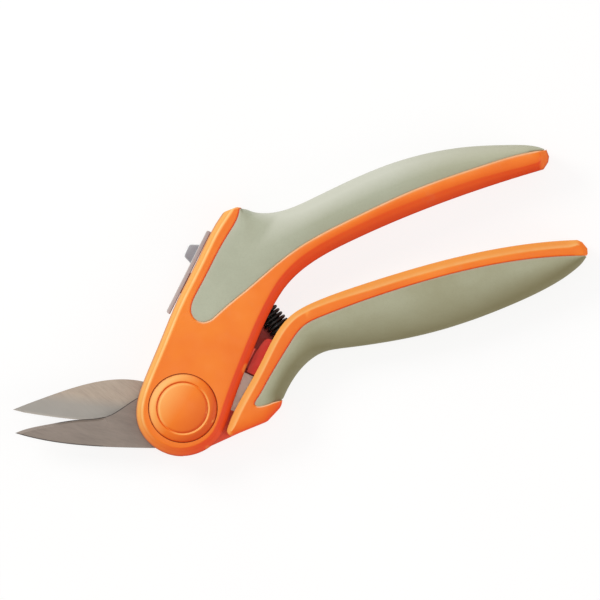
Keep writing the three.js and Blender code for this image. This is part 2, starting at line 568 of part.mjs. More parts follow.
const blade = (outline, layer, bevel, holes) => cut(
  prism(outline, layer),
  bevel,
  pivotRod(BOLT_R + 0.1, BORE, 24),
  ...rods(holes, BLADE_HOLE_R, BORE, 12),
);
// its tang runs up into the body
function fixedBlade() {
  const tang = [
    [20, -10.4], [30, -9.6], [32.4, -6.5], [32.4, -3.2], [30, -0.4], [20, 1.6],
  ];
  const outline = [
    ...FIXED_BLADE_TOP, ...arc(FIXED_HUB_R, 140, 110, 3), ...onBody(tang),
    ...arc(FIXED_HUB_R, 50, -80, 11), ...FIXED_BLADE_BOTTOM,
  ];
  const edge = FIXED_BLADE_TOP.slice(0, 10).reverse();
  const bevel = ground(edge, FIXED_LAYER[0] + LAND, FIXED_LAYER[1]);
  return blade(outline, FIXED_LAYER, bevel, DOWELS);
}
// its tang crosses into the lower handle
const MOVING_TANG = [ // u, v
  [20.4, 8.6], [22.1, 11.6], [22.4, 19.6], [31.4, 21.2], [33, 22.8], [33, 26.6],
  [31.4, 28], [14.5, 28], [10.2, 25], [7.2, 20.4], [7.5, 16.9], [5.4, 11.6],
];
const movingOutline = [
  ...MOVING_BLADE_TOP, ...arc(MOVING_HUB_R, 132, 52, 7), ...onBody(MOVING_TANG),
  ...arc(MOVING_HUB_R, -15, -125, 9), ...MOVING_BLADE_BOTTOM,
];
function movingBlade() {
  const edge = [MOVING_BLADE_TOP[0], ...MOVING_BLADE_BOTTOM.slice(3).reverse()];
  const bevel = ground(edge, MOVING_LAYER[1] - LAND, MOVING_LAYER[0]);
  return blade(movingOutline, MOVING_LAYER, bevel, PINS);
}
addPiece(body, 'fixed_blade', STEEL, fixedBlade());
addPiece(handle, 'moving_blade', STEEL, movingBlade());

// ---------------------------------------------------------------- lower handle
const BLADE_BACK = MOVING_LAYER[0] - 0.1;       // just behind the moving blade
const RIB_FRONT = 15.6;

function lowerHandleCore() {
  const tongue = [
    ...arc(13.4, 65, 262, 16),
    [3, -15.4], [8.6, -15.2], [20.6, -9.72], [25, -2], [26, 8], [20, 7], [12, 8],
  ];
  const web = [[12, 14.4], [22, 12.8], [37.2, 12.4], [37.4, 20.6], [12, 20.6]];
  const rib = [
    [22.9, 15.3], [29.5, 15.0], [33.5, 15.4], [36.5, 16.1], [37.5, 16.8], [37.7, 18],
    [37.7, 20.5], [22.9, 20.5],
  ];
  const solidCore = join(
    hardCore(LOWER),
    // tongue round the pivot, behind the moving blade
    prism(tongue, [5.7, BLADE_BACK]),
    // web closing the gap between body and handle from behind
    prism(onBody(web), [5, BLADE_BACK]),
    // catch rib on the inner edge, with the tooth the lock bar's finger holds
    prism(onBody(rib), [5, RIB_FRONT]),
    prism(onBody(rectangle(24, 32, 13.4, 16.4)), [11.4, RIB_FRONT]),
    prism(onBody(rectangle(24, 32, 13.4, 14.8)), [15, 17.7]),
  );
  return cut(
    solidCore,
    springRod(4.95, -6, SPRING_HALF + 0.3),
    prism(inset(movingOutline, -0.16), [BLADE_BACK, MID + 0.05]),
    pivotRod(BOLT_HOLE_R, BORE, 24),
    ...rods(PINS, BLADE_HOLE_R, [4.7, 17.3], 12),
  ).add(springRod(STUB_R, SPRING_HALF - STUB_REACH, SPRING_HALF + STUB_ROOT));
}
addPiece(handle, 'lower_handle_core', ORANGE, lowerHandleCore());
addPiece(handle, 'lower_grip', SAGE, softGrip(LOWER));
PINS.forEach((place, i) =>
  addPiece(handle, `tang_pin_${i + 1}`, ZINC, rod(place, 1.45, [4.9, 17.1], 12)));

// ---------------------------------------------------------------- return spring
const CLOSED = 0.09;                    // share of the wire in each end's closed coils
const CLOSED_PITCH = 2 * WIRE_R + 0.04;
class Helix extends THREE.Curve {
  getPoint(t, target = new THREE.Vector3()) {
    const angle = t * SPRING_TURNS * 2 * Math.PI;
    const end = CLOSED * SPRING_TURNS * CLOSED_PITCH;
    const open = SPRING_LENGTH - 2 * WIRE_R - 2 * end;
    const first = Math.min(t, CLOSED) / CLOSED;
    const middle = Math.min(1, Math.max(0, (t - CLOSED) / (1 - 2 * CLOSED)));
    const last = Math.max(0, t - (1 - CLOSED)) / CLOSED;
    const x = first * end + middle * open + last * end;
    return target.set(x, SPRING_R * Math.cos(angle), -SPRING_R * Math.sin(angle));
  }
}
const springSeat = new THREE.Group();
springSeat.position.set(...onSpring([-SPRING_HALF + WIRE_R, 0]), MID);
springSeat.rotation.z = springAxis;
body.add(springSeat);
const wire = arc(WIRE_R, 0, 288, 4);    // five-sided section
const coil = extruded(wire, { steps: 12 * SPRING_TURNS, extrudePath: new Helix() });
addPiece(springSeat, 'return_spring', BLACK, solid(coil));

// ---------------------------------------------------------------- slide lock
// drawn in its own frame: x across the body, y up it
const RIVET_AT = [-14.3, 42.5];
const rivetHole = rod(RIVET_AT, 1.25, [8, 20], 16);

function lockSlider() {
  const strip = [
    [-21.85, 29.9], [-21.2, 29.2], [-20.22, 29.2], [-20.22, 63.7], [-21.3, 63.7],
    [-21.85, 63.1],
  ];
  const thumb = [
    [-21.6, 49.4], [-22.4, 50.0], [-24.8, 50.95], [-25.45, 51.7], [-25.6, 55.3],
    [-25.2, 56.1], [-21.6, 57.9],
  ];
  const neck = rectangle(-20.6, -16.2, 38, 46.5);
  const carrier = rectangle(-16.5, -12.2, 36.5, 47.5);
  return cut(join(
    prism(strip, about(4)),
    prism(thumb, about(3.4)),
    prism(neck, about(1.4)),
    prism(carrier, [6.6, 15.9]),
  ), rivetHole);
}
// bar across the body with a finger at its far end
function lockBar() {
  const outline = [
    [-16.2, 37.4], [-12.4, 37.4], [-12.4, 42.2], [11.4, 42.2], [11.4, 36.5], [12.9, 36.5],
    [12.9, 45.4], [-10, 45.4], [-12.4, 47.2], [-16.2, 47.2],
  ];
  return cut(prism(outline, [16.2, 17.6]), rivetHole);
}
// bent leaf just above the rear cover's floor, under the slider
function lockDetentSpring() {
  const side = [ // y, z
    [31, 4.2], [35, 4.2], [40.5, 5.5], [43.5, 5.5], [49, 4.2], [52, 4.2], [52, 4.6],
    [49.1, 4.6], [43.6, 5.95], [40.4, 5.95], [34.9, 4.6], [31, 4.6],
  ];
  const [alongX, alongY, alongZ] = [[1, 0, 0], [0, 1, 0], [0, 0, 1]]
    .map((axis) => new THREE.Vector3(...axis));
  const upright = new THREE.Matrix4().makeBasis(alongY, alongZ, alongX);
  return solid(extruded(side, { depth: 2.6 }).applyMatrix4(upright).translate(-15.8, 0, 0));
}
addPiece(lock, 'lock_slider', SLATE, lockSlider());
addPiece(lock, 'lock_bar', BRIGHT, lockBar());
addPiece(lock, 'lock_bar_rivet', ZINC, rod(RIVET_AT, 1.1, [8.3, 17.7], 16));
addPiece(lock, 'lock_detent_spring', BRIGHT, lockDetentSpring());

export default snips;
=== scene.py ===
# A hand pruner lying flat, its thickness along Z. The pivot stands on the origin, the blades point
# to -X and the handles run towards +X and +Y. The blades meet at the shear plane, z = 11 mm.
# "Front" is the +Z side and "rear" the -Z side. The orange body carries the upper handle, and
# leans LEAN from +X; the lower handle turns about the pivot.
# Lengths are in mm until a mesh is made; lights, camera and shader distances are in metres.
import math

import bmesh
import bpy
import numpy as np
from mathutils import Matrix, Vector
from mathutils.geometry import delaunay_2d_cdt


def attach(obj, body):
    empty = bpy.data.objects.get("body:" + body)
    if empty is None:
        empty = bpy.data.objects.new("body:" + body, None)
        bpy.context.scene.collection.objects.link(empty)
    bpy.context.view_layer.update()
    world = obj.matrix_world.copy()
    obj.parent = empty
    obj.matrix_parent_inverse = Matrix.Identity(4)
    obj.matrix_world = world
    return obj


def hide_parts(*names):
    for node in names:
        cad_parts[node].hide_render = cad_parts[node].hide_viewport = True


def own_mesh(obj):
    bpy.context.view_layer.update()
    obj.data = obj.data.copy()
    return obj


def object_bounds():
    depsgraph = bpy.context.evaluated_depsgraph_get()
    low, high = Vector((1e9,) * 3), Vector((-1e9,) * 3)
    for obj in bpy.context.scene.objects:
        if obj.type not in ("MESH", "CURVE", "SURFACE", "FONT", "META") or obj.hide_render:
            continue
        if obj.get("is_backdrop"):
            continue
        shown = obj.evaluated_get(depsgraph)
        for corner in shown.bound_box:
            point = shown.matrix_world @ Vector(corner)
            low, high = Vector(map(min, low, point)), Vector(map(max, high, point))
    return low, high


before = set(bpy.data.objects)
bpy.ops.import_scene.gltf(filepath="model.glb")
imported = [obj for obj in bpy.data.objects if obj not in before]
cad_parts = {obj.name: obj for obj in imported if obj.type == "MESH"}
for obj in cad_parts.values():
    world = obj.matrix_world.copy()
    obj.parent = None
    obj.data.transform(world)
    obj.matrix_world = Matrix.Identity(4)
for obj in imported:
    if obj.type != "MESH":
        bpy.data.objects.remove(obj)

cad_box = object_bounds()
SCENE = bpy.context.scene
MM = 0.001
LEAN = math.radians(63.4)            # lean of the body from +X
LEAN_COS, LEAN_SIN = math.cos(LEAN), math.sin(LEAN)
MID = 11.0                           # height of the shear plane
HALF = 10.0                          # half thickness of body and handles
FOOT = MID + 0.05                    # where the front halves start
BELOW = MID - 1                      # where cuts into the front halves start
SKIN = 2.2                           # inset of the hard core under the grips
PIVOT = (0, 0)
PIVOT_BORE = 3.65                    # radius through the covers and the lower handle
PIN_BORE = 1.65                      # radius of the holes for pins and screws

# ------------------------------------------------------------------ outlines, (x, y)
BODY_EDGE = [   # right of the upper handle's mouth, round the pivot, out along the handle
    (14.85, 72.9), (12.45, 69.3), (10.25, 65.39), (8.1, 61.08), (5.9, 56.46), (3.66, 51.93),
    (1.33, 47.35), (-0.96, 42.83), (-3, 38.49), (-4.92, 33.99), (-6.83, 29.25), (-8.75, 24.51),
    (-10.73, 19.78), (-12.74, 15.02), (-14.62, 10.39), (-16.16, 6.13), (-17.12, 2.4),
    (-17.51, -1.06), (-17.33, -4.23), (-16.61, -7.04), (-15.33, -9.68), (-13.47, -12.16),
    (-11.13, -14.33), (-8.42, -16.08), (-5.5, -17.31), (-2.5, -17.97), (0.59, -18.05),
    (3.76, -17.56), (6.83, -16.52), (9.62, -14.99), (12, -13.05), (13.93, -10.75), (15.4, -7.9),
    (16.85, -4.13), (18.4, 0.65), (20.05, 5.43), (21.8, 10.13), (23.64, 14.87), (25.55, 19.65),
    (27.5, 24.47), (29.45, 29.13), (31.5, 33.6), (33.68, 37.85), (35.97, 41.79), (38.27, 45.22),
    (40.77, 48.2), (43.7, 50.98), (47.04, 53.61), (50.72, 56.07), (54.68, 58.39), (58.92, 60.6),
    (63.42, 62.79), (68.02, 64.94), (72.66, 67.03), (77.32, 69.06), (82.02, 71.04), (86.74, 72.96),
    (91.49, 74.83), (96.26, 76.65), (101.06, 78.41), (105.88, 80.13), (110.73, 81.8),
    (115.59, 83.43), (120.47, 85.01), (125.37, 86.55), (130.29, 88.05), (135.23, 89.51)]
HANDLE_TOP = [   # upper handle's far edge, from its end back to the body
    (136.24, 96.9), (133.22, 97.94), (129.65, 98.53), (125.4, 98.7), (120.32, 98.64),
    (115.24, 98.52), (110.33, 98.27), (105.54, 97.86), (100.76, 97.25), (95.99, 96.45),
    (91.25, 95.47), (86.54, 94.3), (81.89, 92.96), (77.31, 91.45), (72.75, 89.74), (68.18, 87.86),
    (63.58, 85.83), (58.96, 83.67), (54.28, 81.42), (49.55, 79.12), (45.04, 76.97), (40.92, 75.23),
    (37.08, 73.99), (33.44, 73.28), (29.92, 73.12), (26.56, 73.49), (23.6, 74.55)]
HANDLE_END = [BODY_EDGE[-1], (136.95, 92.2), (137.25, 94.3), HANDLE_TOP[0]]
TOP_CORNER = [(22.3, 74.75), (21.6, 75.12), (20.6, 75.32), (19.9, 75.22), (15.95, 73.72),
              (15.4, 73.42), (14.85, 72.9)]
UPPER_GRIP_LINE = [   # seam between the orange body and the upper grip
    (21.3, 74.81), (20.62, 71.92), (19.22, 68.91), (16.87, 65.07), (14.47, 61.04), (12.17, 56.75),
    (9.83, 52.12), (7.49, 47.55), (5.12, 43.17), (3.6, 39.95), (3.06, 37.54), (3.16, 35.58),
    (4.59, 33.25), (7.52, 32.19), (10.54, 33.14), (12.86, 35.1), (16.34, 38.22), (20.17, 41.38),
    (24.11, 44.6), (27.99, 47.92), (31.95, 51.34), (35.8, 54.57), (39.59, 57.55), (43.39, 60.24),
    (47.38, 62.75), (51.58, 65.13), (55.98, 67.44), (60.56, 69.71), (65.29, 72.01), (70.02, 74.31),
    (74.71, 76.55), (79.35, 78.7), (83.97, 80.73), (88.58, 82.63), (93.27, 84.42), (98.07, 86.14),
    (102.95, 87.82), (107.92, 89.48), (112.93, 91.14), (117.79, 92.72), (122.51, 94.12),
    (127.11, 95.28), (131.59, 96.14), (135.98, 96.68)]
INNER_EDGE = [   # lower handle's edge that faces the upper handle
    (16.6, -7.87), (18.05, -3.9), (19.9, 0.07), (22.15, 4.22), (24.67, 8.62), (27.11, 12.96),
    (29.36, 17.22), (31.57, 21.71), (33.8, 26.01), (35.95, 29.55), (38, 32.2), (40.15, 34.4),
    (42.95, 36.5), (46.54, 38.5), (50.8, 40.4), (55.25, 42.17), (59.87, 43.84), (64.65, 45.46),
    (69.53, 47.06), (74.4, 48.63), (79.27, 50.14), (84.14, 51.61), (89.02, 53.01), (93.89, 54.35),
    (98.77, 55.62), (103.66, 56.8), (108.55, 57.91), (113.44, 58.92), (118.34, 59.84),
    (123.24, 60.66), (128.15, 61.37), (133.05, 61.96), (137.95, 62.43), (142.85, 62.79),
    (147.75, 63.01)]
OUTER_EDGE = [   # lower handle's far edge, from its end back to the wedge by the pivot
    (151.75, 57.2), (149.47, 54.07), (146.49, 51.4), (143.07, 48.88), (139.23, 46.49),
    (135.1, 44.22), (130.77, 42.07), (126.26, 40.02), (121.6, 38.02), (116.92, 36.11),
    (112.22, 34.3), (107.5, 32.61), (102.76, 31.03), (98.01, 29.58), (93.24, 28.27), (88.44, 27.1),
    (83.57, 26.06), (78.64, 25.12), (73.66, 24.29), (68.63, 23.53), (63.55, 22.85), (58.47, 22.21),
    (54.57, 21.51), (51.63, 20.46), (48.83, 18.82), (46.1, 16.57), (43.54, 13.79), (41.24, 10.59),
    (39.18, 6.98), (37.35, 3)]
LOWER_END = [INNER_EDGE[-1], (149.6, 62.2), (151.55, 59.8), OUTER_EDGE[0]]
# the wedge's three rounded corners; straight edges join them
WEDGE_TOP = [OUTER_EDGE[-1], (36.95, 1.2), (36.4, 0.1), (35.6, -0.85)]
WEDGE_SIDE = [(32.1, -4.58), (31.78, -4.88), (31.4, -5.12), (30.95, -5.36)]
WEDGE_TIP = [(19.3, -10.14), (18.6, -10.38), (18.0, -10.4), (17.4, -10.13), (16.9, -9.6),
             (16.55, -8.85), INNER_EDGE[0]]
LOWER_GRIP_LINE = [   # seam between the lower handle and its grip
    (151.31, 57.15), (146.39, 57.11), (141.49, 56.92), (136.58, 56.58), (131.66, 56.11),
    (126.74, 55.5), (121.82, 54.77), (116.9, 53.92), (111.98, 52.96), (107.07, 51.89),
    (102.17, 50.73), (97.27, 49.48), (92.38, 48.14), (87.49, 46.72), (82.6, 45.24), (77.72, 43.69),
    (72.86, 42.08), (68.03, 40.42), (63.23, 38.69), (58.46, 36.91), (53.69, 35.05), (49.32, 33.25),
    (46.34, 31.62), (44.05, 29.72), (41.94, 27.15), (39.58, 23.48), (36.87, 19.08), (34.27, 14.79),
    (31.8, 10.46), (29.34, 5.97), (26.85, 1.39), (27.94, 0.68), (31.27, 1.2), (33.98, 2.18),
    (37.27, 2.93)]
LONG_SEAM_POINTS = 31                # how many of these lie along the handle, before the wedge
FIXED_BLADE_TOP = [
    (-63.08, -9.45), (-59.53, -8.13), (-55.47, -7.12), (-50.66, -6.2), (-45.72, -5.28),
    (-41.23, -4.62), (-36.79, -4.29), (-32.43, -3.96), (-29.07, -3.27), (-26.26, -2.15),
    (-23.17, -0.23), (-19.42, 2.35), (-16.5, 4.1), (-14.6, 4.8)]
FIXED_BLADE_HEEL = [(-3.5, -14.4), (-6.2, -14.9)]
FIXED_BLADE_BOTTOM = [
    (-10.12, -15.07), (-15.81, -14.98), (-21.43, -14.86), (-26.95, -14.69), (-32.39, -14.43),
    (-37.75, -14.04), (-43.01, -13.52), (-48.18, -12.82), (-53.24, -11.92), (-58.19, -10.81),
    FIXED_BLADE_TOP[0]]
MOVING_BLADE_TOP = [
    (-63.9, -0.67), (-58.67, 1.42), (-53.22, 3.44), (-47.64, 5.44), (-42.3, 7.23), (-37.15, 8.71),
    (-32.14, 9.83), (-27.28, 10.52), (-22.6, 10.73), (-18.12, 10.43), (-13.87, 9.6), (-10.6, 8.4)]
MOVING_BLADE_BOTTOM = [
    (-9.6, -8.9), (-14, -8.3), (-20, -6.9), (-26, -5.5), (-30, -4.95), (-34.12, -4.61),
    (-39.42, -4.4), (-43.23, -4.05), (-48.26, -3.46), (-54.03, -2.64), (-59.71, -1.74)]


# ------------------------------------------------------------------ curves
def smooth(points, step=0.7):
    """An even, smooth curve through the points (centripetal Catmull-Rom)."""
    given = np.array(points, float)
    padded = np.vstack([2 * given[0] - given[1], given, 2 * given[-1] - given[-2]])
    out = []
    for i in range(1, len(padded) - 2):
        p0, p1, p2, p3 = padded[i - 1:i + 3]
        t0 = 0.0
        t1 = t0 + max(np.linalg.norm(p1 - p0), 1e-6) ** 0.5
        t2 = t1 + max(np.linalg.norm(p2 - p1), 1e-6) ** 0.5
        t3 = t2 + max(np.linalg.norm(p3 - p2), 1e-6) ** 0.5
        count = max(1, int(round(np.linalg.norm(p2 - p1) / step)))
        for k in range(count):
            t = t1 + (t2 - t1) * k / count

            def blend(p, q, tp, tq):
                return (tq - t) / (tq - tp) * p + (t - tp) / (tq - tp) * q
            middle = blend(p1, p2, t1, t2)
            early = blend(blend(p0, p1, t0, t1), middle, t0, t2)
            late = blend(middle, blend(p2, p3, t2, t3), t1, t3)
            out.append(blend(early, late, t1, t2))
    out.append(given[-1])
    return np.array(out)


def distance(points, place):
    return np.hypot(*(points - np.array(place)).T)


def dedupe(points, tolerance=0.02):
    keep = [points[0]]
    for point in points[1:]:
        if distance(point, keep[-1]) > tolerance:
            keep.append(point)
    if distance(keep[0], keep[-1]) < tolerance:
        keep.pop()
    return np.array(keep)


def ccw(points):
    """The outline without doubled points, counter-clockwise."""
    p = dedupe(np.array(points, float))
    x, y = p[:, 0], p[:, 1]
    area = np.sum(x * np.roll(y, -1) - np.roll(x, -1) * y)
    return p if area > 0 else p[::-1].copy()


def resample(points, step, closed=False):
    if closed:
        points = np.vstack([points, points[:1]])
    lengths = np.hypot(*(points[1:] - points[:-1]).T)
    station = np.concatenate([[0], np.cumsum(lengths)])
    count = max(1, int(round(station[-1] / step)))
    at = np.linspace(0, station[-1], count + 1)
    out = np.column_stack([np.interp(at, station, points[:, 0]),
                           np.interp(at, station, points[:, 1])])
    return out[:-1] if closed else out


def straight(points, step=0.5):
    p = np.array(points, float)
    return np.vstack([resample(p[i:i + 2], step)[:-1] for i in range(len(p) - 1)] + [p[-1:]])


def stretches(points, keep):
    """The unbroken runs of kept points."""
    runs, run = [], []
    for point, kept in zip(points, keep):
        if kept:
            run.append(point)
        elif run:
            runs.append(np.array(run))
            run = []
    if run:
        runs.append(np.array(run))
    return runs


class Course:
    """A polyline, open or closed, with a width at each point."""

    def __init__(self, points, closed=False, width=None):
        self.points, self.closed = np.array(points, float), closed
        self.width = np.ones(len(self.points)) if width is None else np.array(width, float)
        self.starts, self.ends = self.segments(self.points)
        self.start_width, self.end_width = self.segments(self.width)

    def segments(self, values):
        if self.closed:
            return values, np.roll(values, -1, axis=0)
        return values[:-1], values[1:]

    def near(self, points):
        """How far each point is from the course, and the width at the nearest place."""
        points = np.array(points, float).reshape(-1, 2)
        gaps, widths = np.empty(len(points)), np.empty(len(points))
        span = self.ends - self.starts
        squared = np.maximum((span ** 2).sum(1), 1e-12)
        for first in range(0, len(points), 1500):
            chunk = slice(first, first + 1500)
            offset = points[chunk][:, None, :] - self.starts[None]
            along = np.clip((offset * span[None]).sum(2) / squared[None], 0, 1)
            gap = np.sqrt(((offset - along[..., None] * span[None]) ** 2).sum(2))
            nearest = gap.argmin(1)
            row = np.arange(len(nearest))
            share = along[row, nearest]
            gaps[chunk] = gap[row, nearest]
            widths[chunk] = (self.start_width[nearest] * (1 - share)
                             + self.end_width[nearest] * share)
        return gaps, widths

    def away(self, points):
        return self.near(points)[0]

    def moved(self, amount, step=0.9, inside=None):
        """Runs `amount` times the local width to the left, as (closed, points)."""
        p = self.points
        if self.closed:
            tangent = np.roll(p, -1, 0) - np.roll(p, 1, 0)
        else:
            tangent = np.gradient(p, axis=0)
        tangent /= np.maximum(np.hypot(*tangent.T)[:, None], 1e-9)
        normal = np.column_stack([-tangent[:, 1], tangent[:, 0]])
        shifted = p + normal * (self.width * amount)[:, None]
        gap, width = self.near(shifted)
        keep = gap >= width * amount - 0.025
        if inside is not None:
            keep &= inside(shifted)
        if self.closed and keep.all():
            return [(True, resample(shifted, step, True))]
        if self.closed:
            start = int(np.argmin(keep))
            shifted, keep = np.roll(shifted, -start, axis=0), np.roll(keep, -start)
        return [(False, resample(r, step)) for r in stretches(shifted, keep) if len(r) > 2]


def both_sides(points, levels, step, inside, width=None):
    """Lines alongside a course at each level, left and then right of it."""
    left = Course(points, width=width)
    right = Course(points[::-1], width=left.width[::-1])
    return [line for level in levels for course in (left, right)
            for line in course.moved(level, step, inside)]


def within(outline):
    """A test for points inside an outline."""
    start, end = outline, np.roll(outline, -1, axis=0)
    x0, y0 = start[None, :, 0], start[None, :, 1]
    x1, y1 = end[None, :, 0], end[None, :, 1]

    def test(points):
        points = np.array(points, float).reshape(-1, 2)
        inside = np.zeros(len(points), bool)
        for i in range(0, len(points), 2000):
            x, y = points[i:i + 2000, None, 0], points[i:i + 2000, None, 1]
            crosses = (y0 > y) != (y1 > y)
            with np.errstate(divide="ignore", invalid="ignore"):
                crossing = (x1 - x0) * (y - y0) / (y1 - y0) + x0
            inside[i:i + 2000] = (crosses & (x < crossing)).sum(1) % 2 == 1
        return inside
    return test


def inset(outline, by):
    return ccw(np.vstack([run for _, run in Course(ccw(outline), True).moved(by, 1.6)]))


def grown(outline, by):
    return ccw(np.vstack([run for _, run in Course(ccw(outline)[::-1], True).moved(by, 1.6)]))


def arc(radius, start, end, count):
    """Points round the pivot between two angles in degrees."""
    angles = [math.radians(start + (end - start) * i / count) for i in range(count + 1)]
    return [(radius * math.cos(a), radius * math.sin(a)) for a in angles]


def graph(x, table):
    """Reads x off a table of (x, value)."""
    table = np.array(table, float)
    return np.interp(x, table[:, 0], table[:, 1])


def averaged(values, count):
    return np.convolve(np.pad(values, count // 2, "edge"), np.ones(count) / count, "valid")


def on_body(up, across):
    """(x, y) of a place given up the leaning body and across it, positive to the lower handle."""
    return (up * LEAN_COS + across * LEAN_SIN, up * LEAN_SIN - across * LEAN_COS)


def body_points(*places):
    return [on_body(up, across) for up, across in places]


def up_body(p):
    return p[..., 0] * LEAN_COS + p[..., 1] * LEAN_SIN


def across_body(p):
    return p[..., 0] * LEAN_SIN - p[..., 1] * LEAN_COS


# ------------------------------------------------------------------ meshes
def new_object(name, verts, faces):
    mesh = bpy.data.meshes.new(name)
    mesh.from_pydata([tuple(float(c) * MM for c in v) for v in verts], [],
                     [tuple(int(i) for i in f) for f in faces])
    mesh.validate()
    o = bpy.data.objects.new(name, mesh)
    SCENE.collection.objects.link(o)
    return o


def flat_net(boundary, lines, grid):
    """Triangles inside a closed boundary, with edges along the lines and even points between."""
    inside = within(boundary)
    points, edges = [], []

    def add_line(run, closed):
        first, count = len(points), len(run)
        points.extend(map(tuple, run))
        edges.extend((first + i, first + i + 1) for i in range(count - 1))
        if closed:
            edges.append((first + count - 1, first))
    add_line(boundary, True)
    rim = Course(boundary, True)
    for closed, run in lines:
        if closed:
            add_line(run, True)
            continue
        for part in stretches(run, inside(run) & (rim.away(run) > 0.03)):
            if len(part) > 1:
                add_line(part, False)
    low, high = boundary.min(0), boundary.max(0)
    rows = np.arange(low[1] + grid / 2, high[1], grid * 0.866)
    fill = np.array([(x + (grid / 2 if i % 2 else 0), y) for i, y in enumerate(rows)
                     for x in np.arange(low[0] + grid / 2, high[0], grid)])
    fill = fill[inside(fill)]
    placed = np.array(points)
    keep = np.ones(len(fill), bool)
    for i in range(0, len(fill), 800):
        apart = fill[i:i + 800][:, None] - placed[None]
        keep[i:i + 800] = np.sqrt((apart ** 2).sum(2)).min(1) > grid * 0.45
    points.extend(map(tuple, fill[keep]))
    verts, _, faces, *_ = delaunay_2d_cdt([Vector(p) for p in points], edges,
                                          [list(range(len(boundary)))], 1, 1e-5)
    verts = np.array([tuple(p) for p in verts])
    faces = np.array([f for f in faces if len(f) == 3], int)
    faces = faces[inside(verts[faces].mean(1))]
    a = verts[faces[:, 1]] - verts[faces[:, 0]]
    b = verts[faces[:, 2]] - verts[faces[:, 0]]
    clockwise = a[:, 0] * b[:, 1] - a[:, 1] * b[:, 0] < 0
    faces[clockwise] = faces[clockwise][:, ::-1]
    return verts, faces


def solid(name, points, triangles, top, bottom):
    """A closed solid over a flat net, between two heights given per point."""
    used = np.unique(triangles)
    index = -np.ones(len(points), int)
    index[used] = np.arange(len(used))
    points, triangles, top, bottom = points[used], index[triangles], top[used], bottom[used]
    n = len(points)
    directed = {(t[i], t[(i + 1) % 3]): True for t in triangles for i in range(3)}
    rim = [(a, b) for a, b in directed if (b, a) not in directed]
    verts = [(x, y, z) for heights in (top, bottom) for (x, y), z in zip(points, heights)]
    faces = [tuple(t) for t in triangles] + [(t[2] + n, t[1] + n, t[0] + n) for t in triangles]
    # a tall wall gets rows of points close to its edges: (share of top, offset)
    tall = min(top[a] - bottom[a] for a, _ in rim) > 3.0 and len(dict(rim)) == len(rim)
    rows = ((1, -0.22), (1, -0.7), (0.5, 0.0), (0, 0.7), (0, 0.22)) if tall else ()
    column = {}
    for a, _ in rim:
        column[a] = [a]
        for share, offset in rows:
            column[a].append(len(verts))
            verts.append((*points[a], top[a] * share + bottom[a] * (1 - share) + offset))
        column[a].append(a + n)
    for a, b in rim:
        p, q = column[a], column[b]
        faces += [(p[i], p[i + 1], q[i + 1], q[i]) for i in range(len(p) - 1)]
    return new_object(name, verts, faces)


def prism(outline, z0, z1, name="tool"):
    p = ccw(outline)
    n = len(p)
    verts = [(x, y, z) for z in (z0, z1) for x, y in p]
    faces = [tuple(range(n))[::-1], tuple(range(n, 2 * n))]
    faces += [(i, (i + 1) % n, (i + 1) % n + n, i + n) for i in range(n)]
    return new_object(name, verts, faces)


def face_outward(o):
    bm = bmesh.new()
    bm.from_mesh(o.data)
    bmesh.ops.recalc_face_normals(bm, faces=bm.faces)
    bm.to_mesh(o.data)
    bm.free()
    return o


def turned(name, profile, segments, at=PIVOT):
    """A solid of revolution; the profile runs (radius, height) from axis to axis."""
    verts, rings = [], []
    angles = [2 * math.pi * i / segments for i in range(segments)]
    for r, z in profile:
        first = len(verts)
        if r < 1e-6:
            rings.append([first])
            verts.append((*at, z))
        else:
            rings.append(list(range(first, first + segments)))
            verts += [(at[0] + r * math.cos(a), at[1] + r * math.sin(a), z) for a in angles]
    faces = []
    for a, b in zip(rings, rings[1:]):
        for i in range(segments):
            j = (i + 1) % segments
            if len(a) == 1 and len(b) > 1:
                faces.append((a[0], b[i], b[j]))
            elif len(b) == 1 and len(a) > 1:
                faces.append((a[i], b[0], a[j]))
            elif len(a) > 1:
                faces.append((a[i], b[i], b[j], a[j]))
    return face_outward(new_object(name, verts, faces))


def rod(place, radius, z0, z1, segments=40):
    profile = [(0, z0), (radius, z0), (radius, z1), (0, z1)]
    return turned("tool", profile, segments, place)


def apply_modifiers(o):
    bpy.context.view_layer.update()
    graph_now = bpy.context.evaluated_depsgraph_get()
    mesh = bpy.data.meshes.new_from_object(o.evaluated_get(graph_now))
    o.modifiers.clear()
    old, o.data = o.data, mesh
    bpy.data.meshes.remove(old)


def add(tool):
    return "UNION", tool


def cut(tool):
    return "DIFFERENCE", tool


def combine(o, tools):
    """Applies (operation, object) booleans in turn and removes the tools."""
    for operation, tool in tools:
        m = o.modifiers.new("b", "BOOLEAN")
        m.operation, m.object, m.solver = operation, tool, "MANIFOLD"
    apply_modifiers(o)
    for _, tool in tools:
        bpy.data.objects.remove(tool)
    return o


def soften(o, width, segments):
    m = o.modifiers.new("soft", "BEVEL")
    m.width, m.segments = width * MM, segments
    m.limit_method, m.angle_limit = "ANGLE", math.radians(25)
    apply_modifiers(o)


def shade_smooth(o, angle):
    for face in o.data.polygons:
        face.use_smooth = True
    o.data.set_sharp_from_angle(angle=math.radians(angle))


def tidy(o):
    bm = bmesh.new()
    bm.from_mesh(o.data)
    bmesh.ops.remove_doubles(bm, verts=bm.verts, dist=2e-6)
    bmesh.ops.dissolve_degenerate(bm, dist=1e-6, edges=bm.edges)
    bmesh.ops.delete(bm, geom=[v for v in bm.verts if not v.link_faces], context="VERTS")
    bm.to_mesh(o.data)
    bm.free()


def turn_over(o):
    """Mirrors o about the shear plane."""
    flip = Matrix.Translation((0, 0, 2 * MID * MM)) @ Matrix.Diagonal((1, 1, -1, 1))
    o.data.transform(flip)
    o.data.flip_normals()


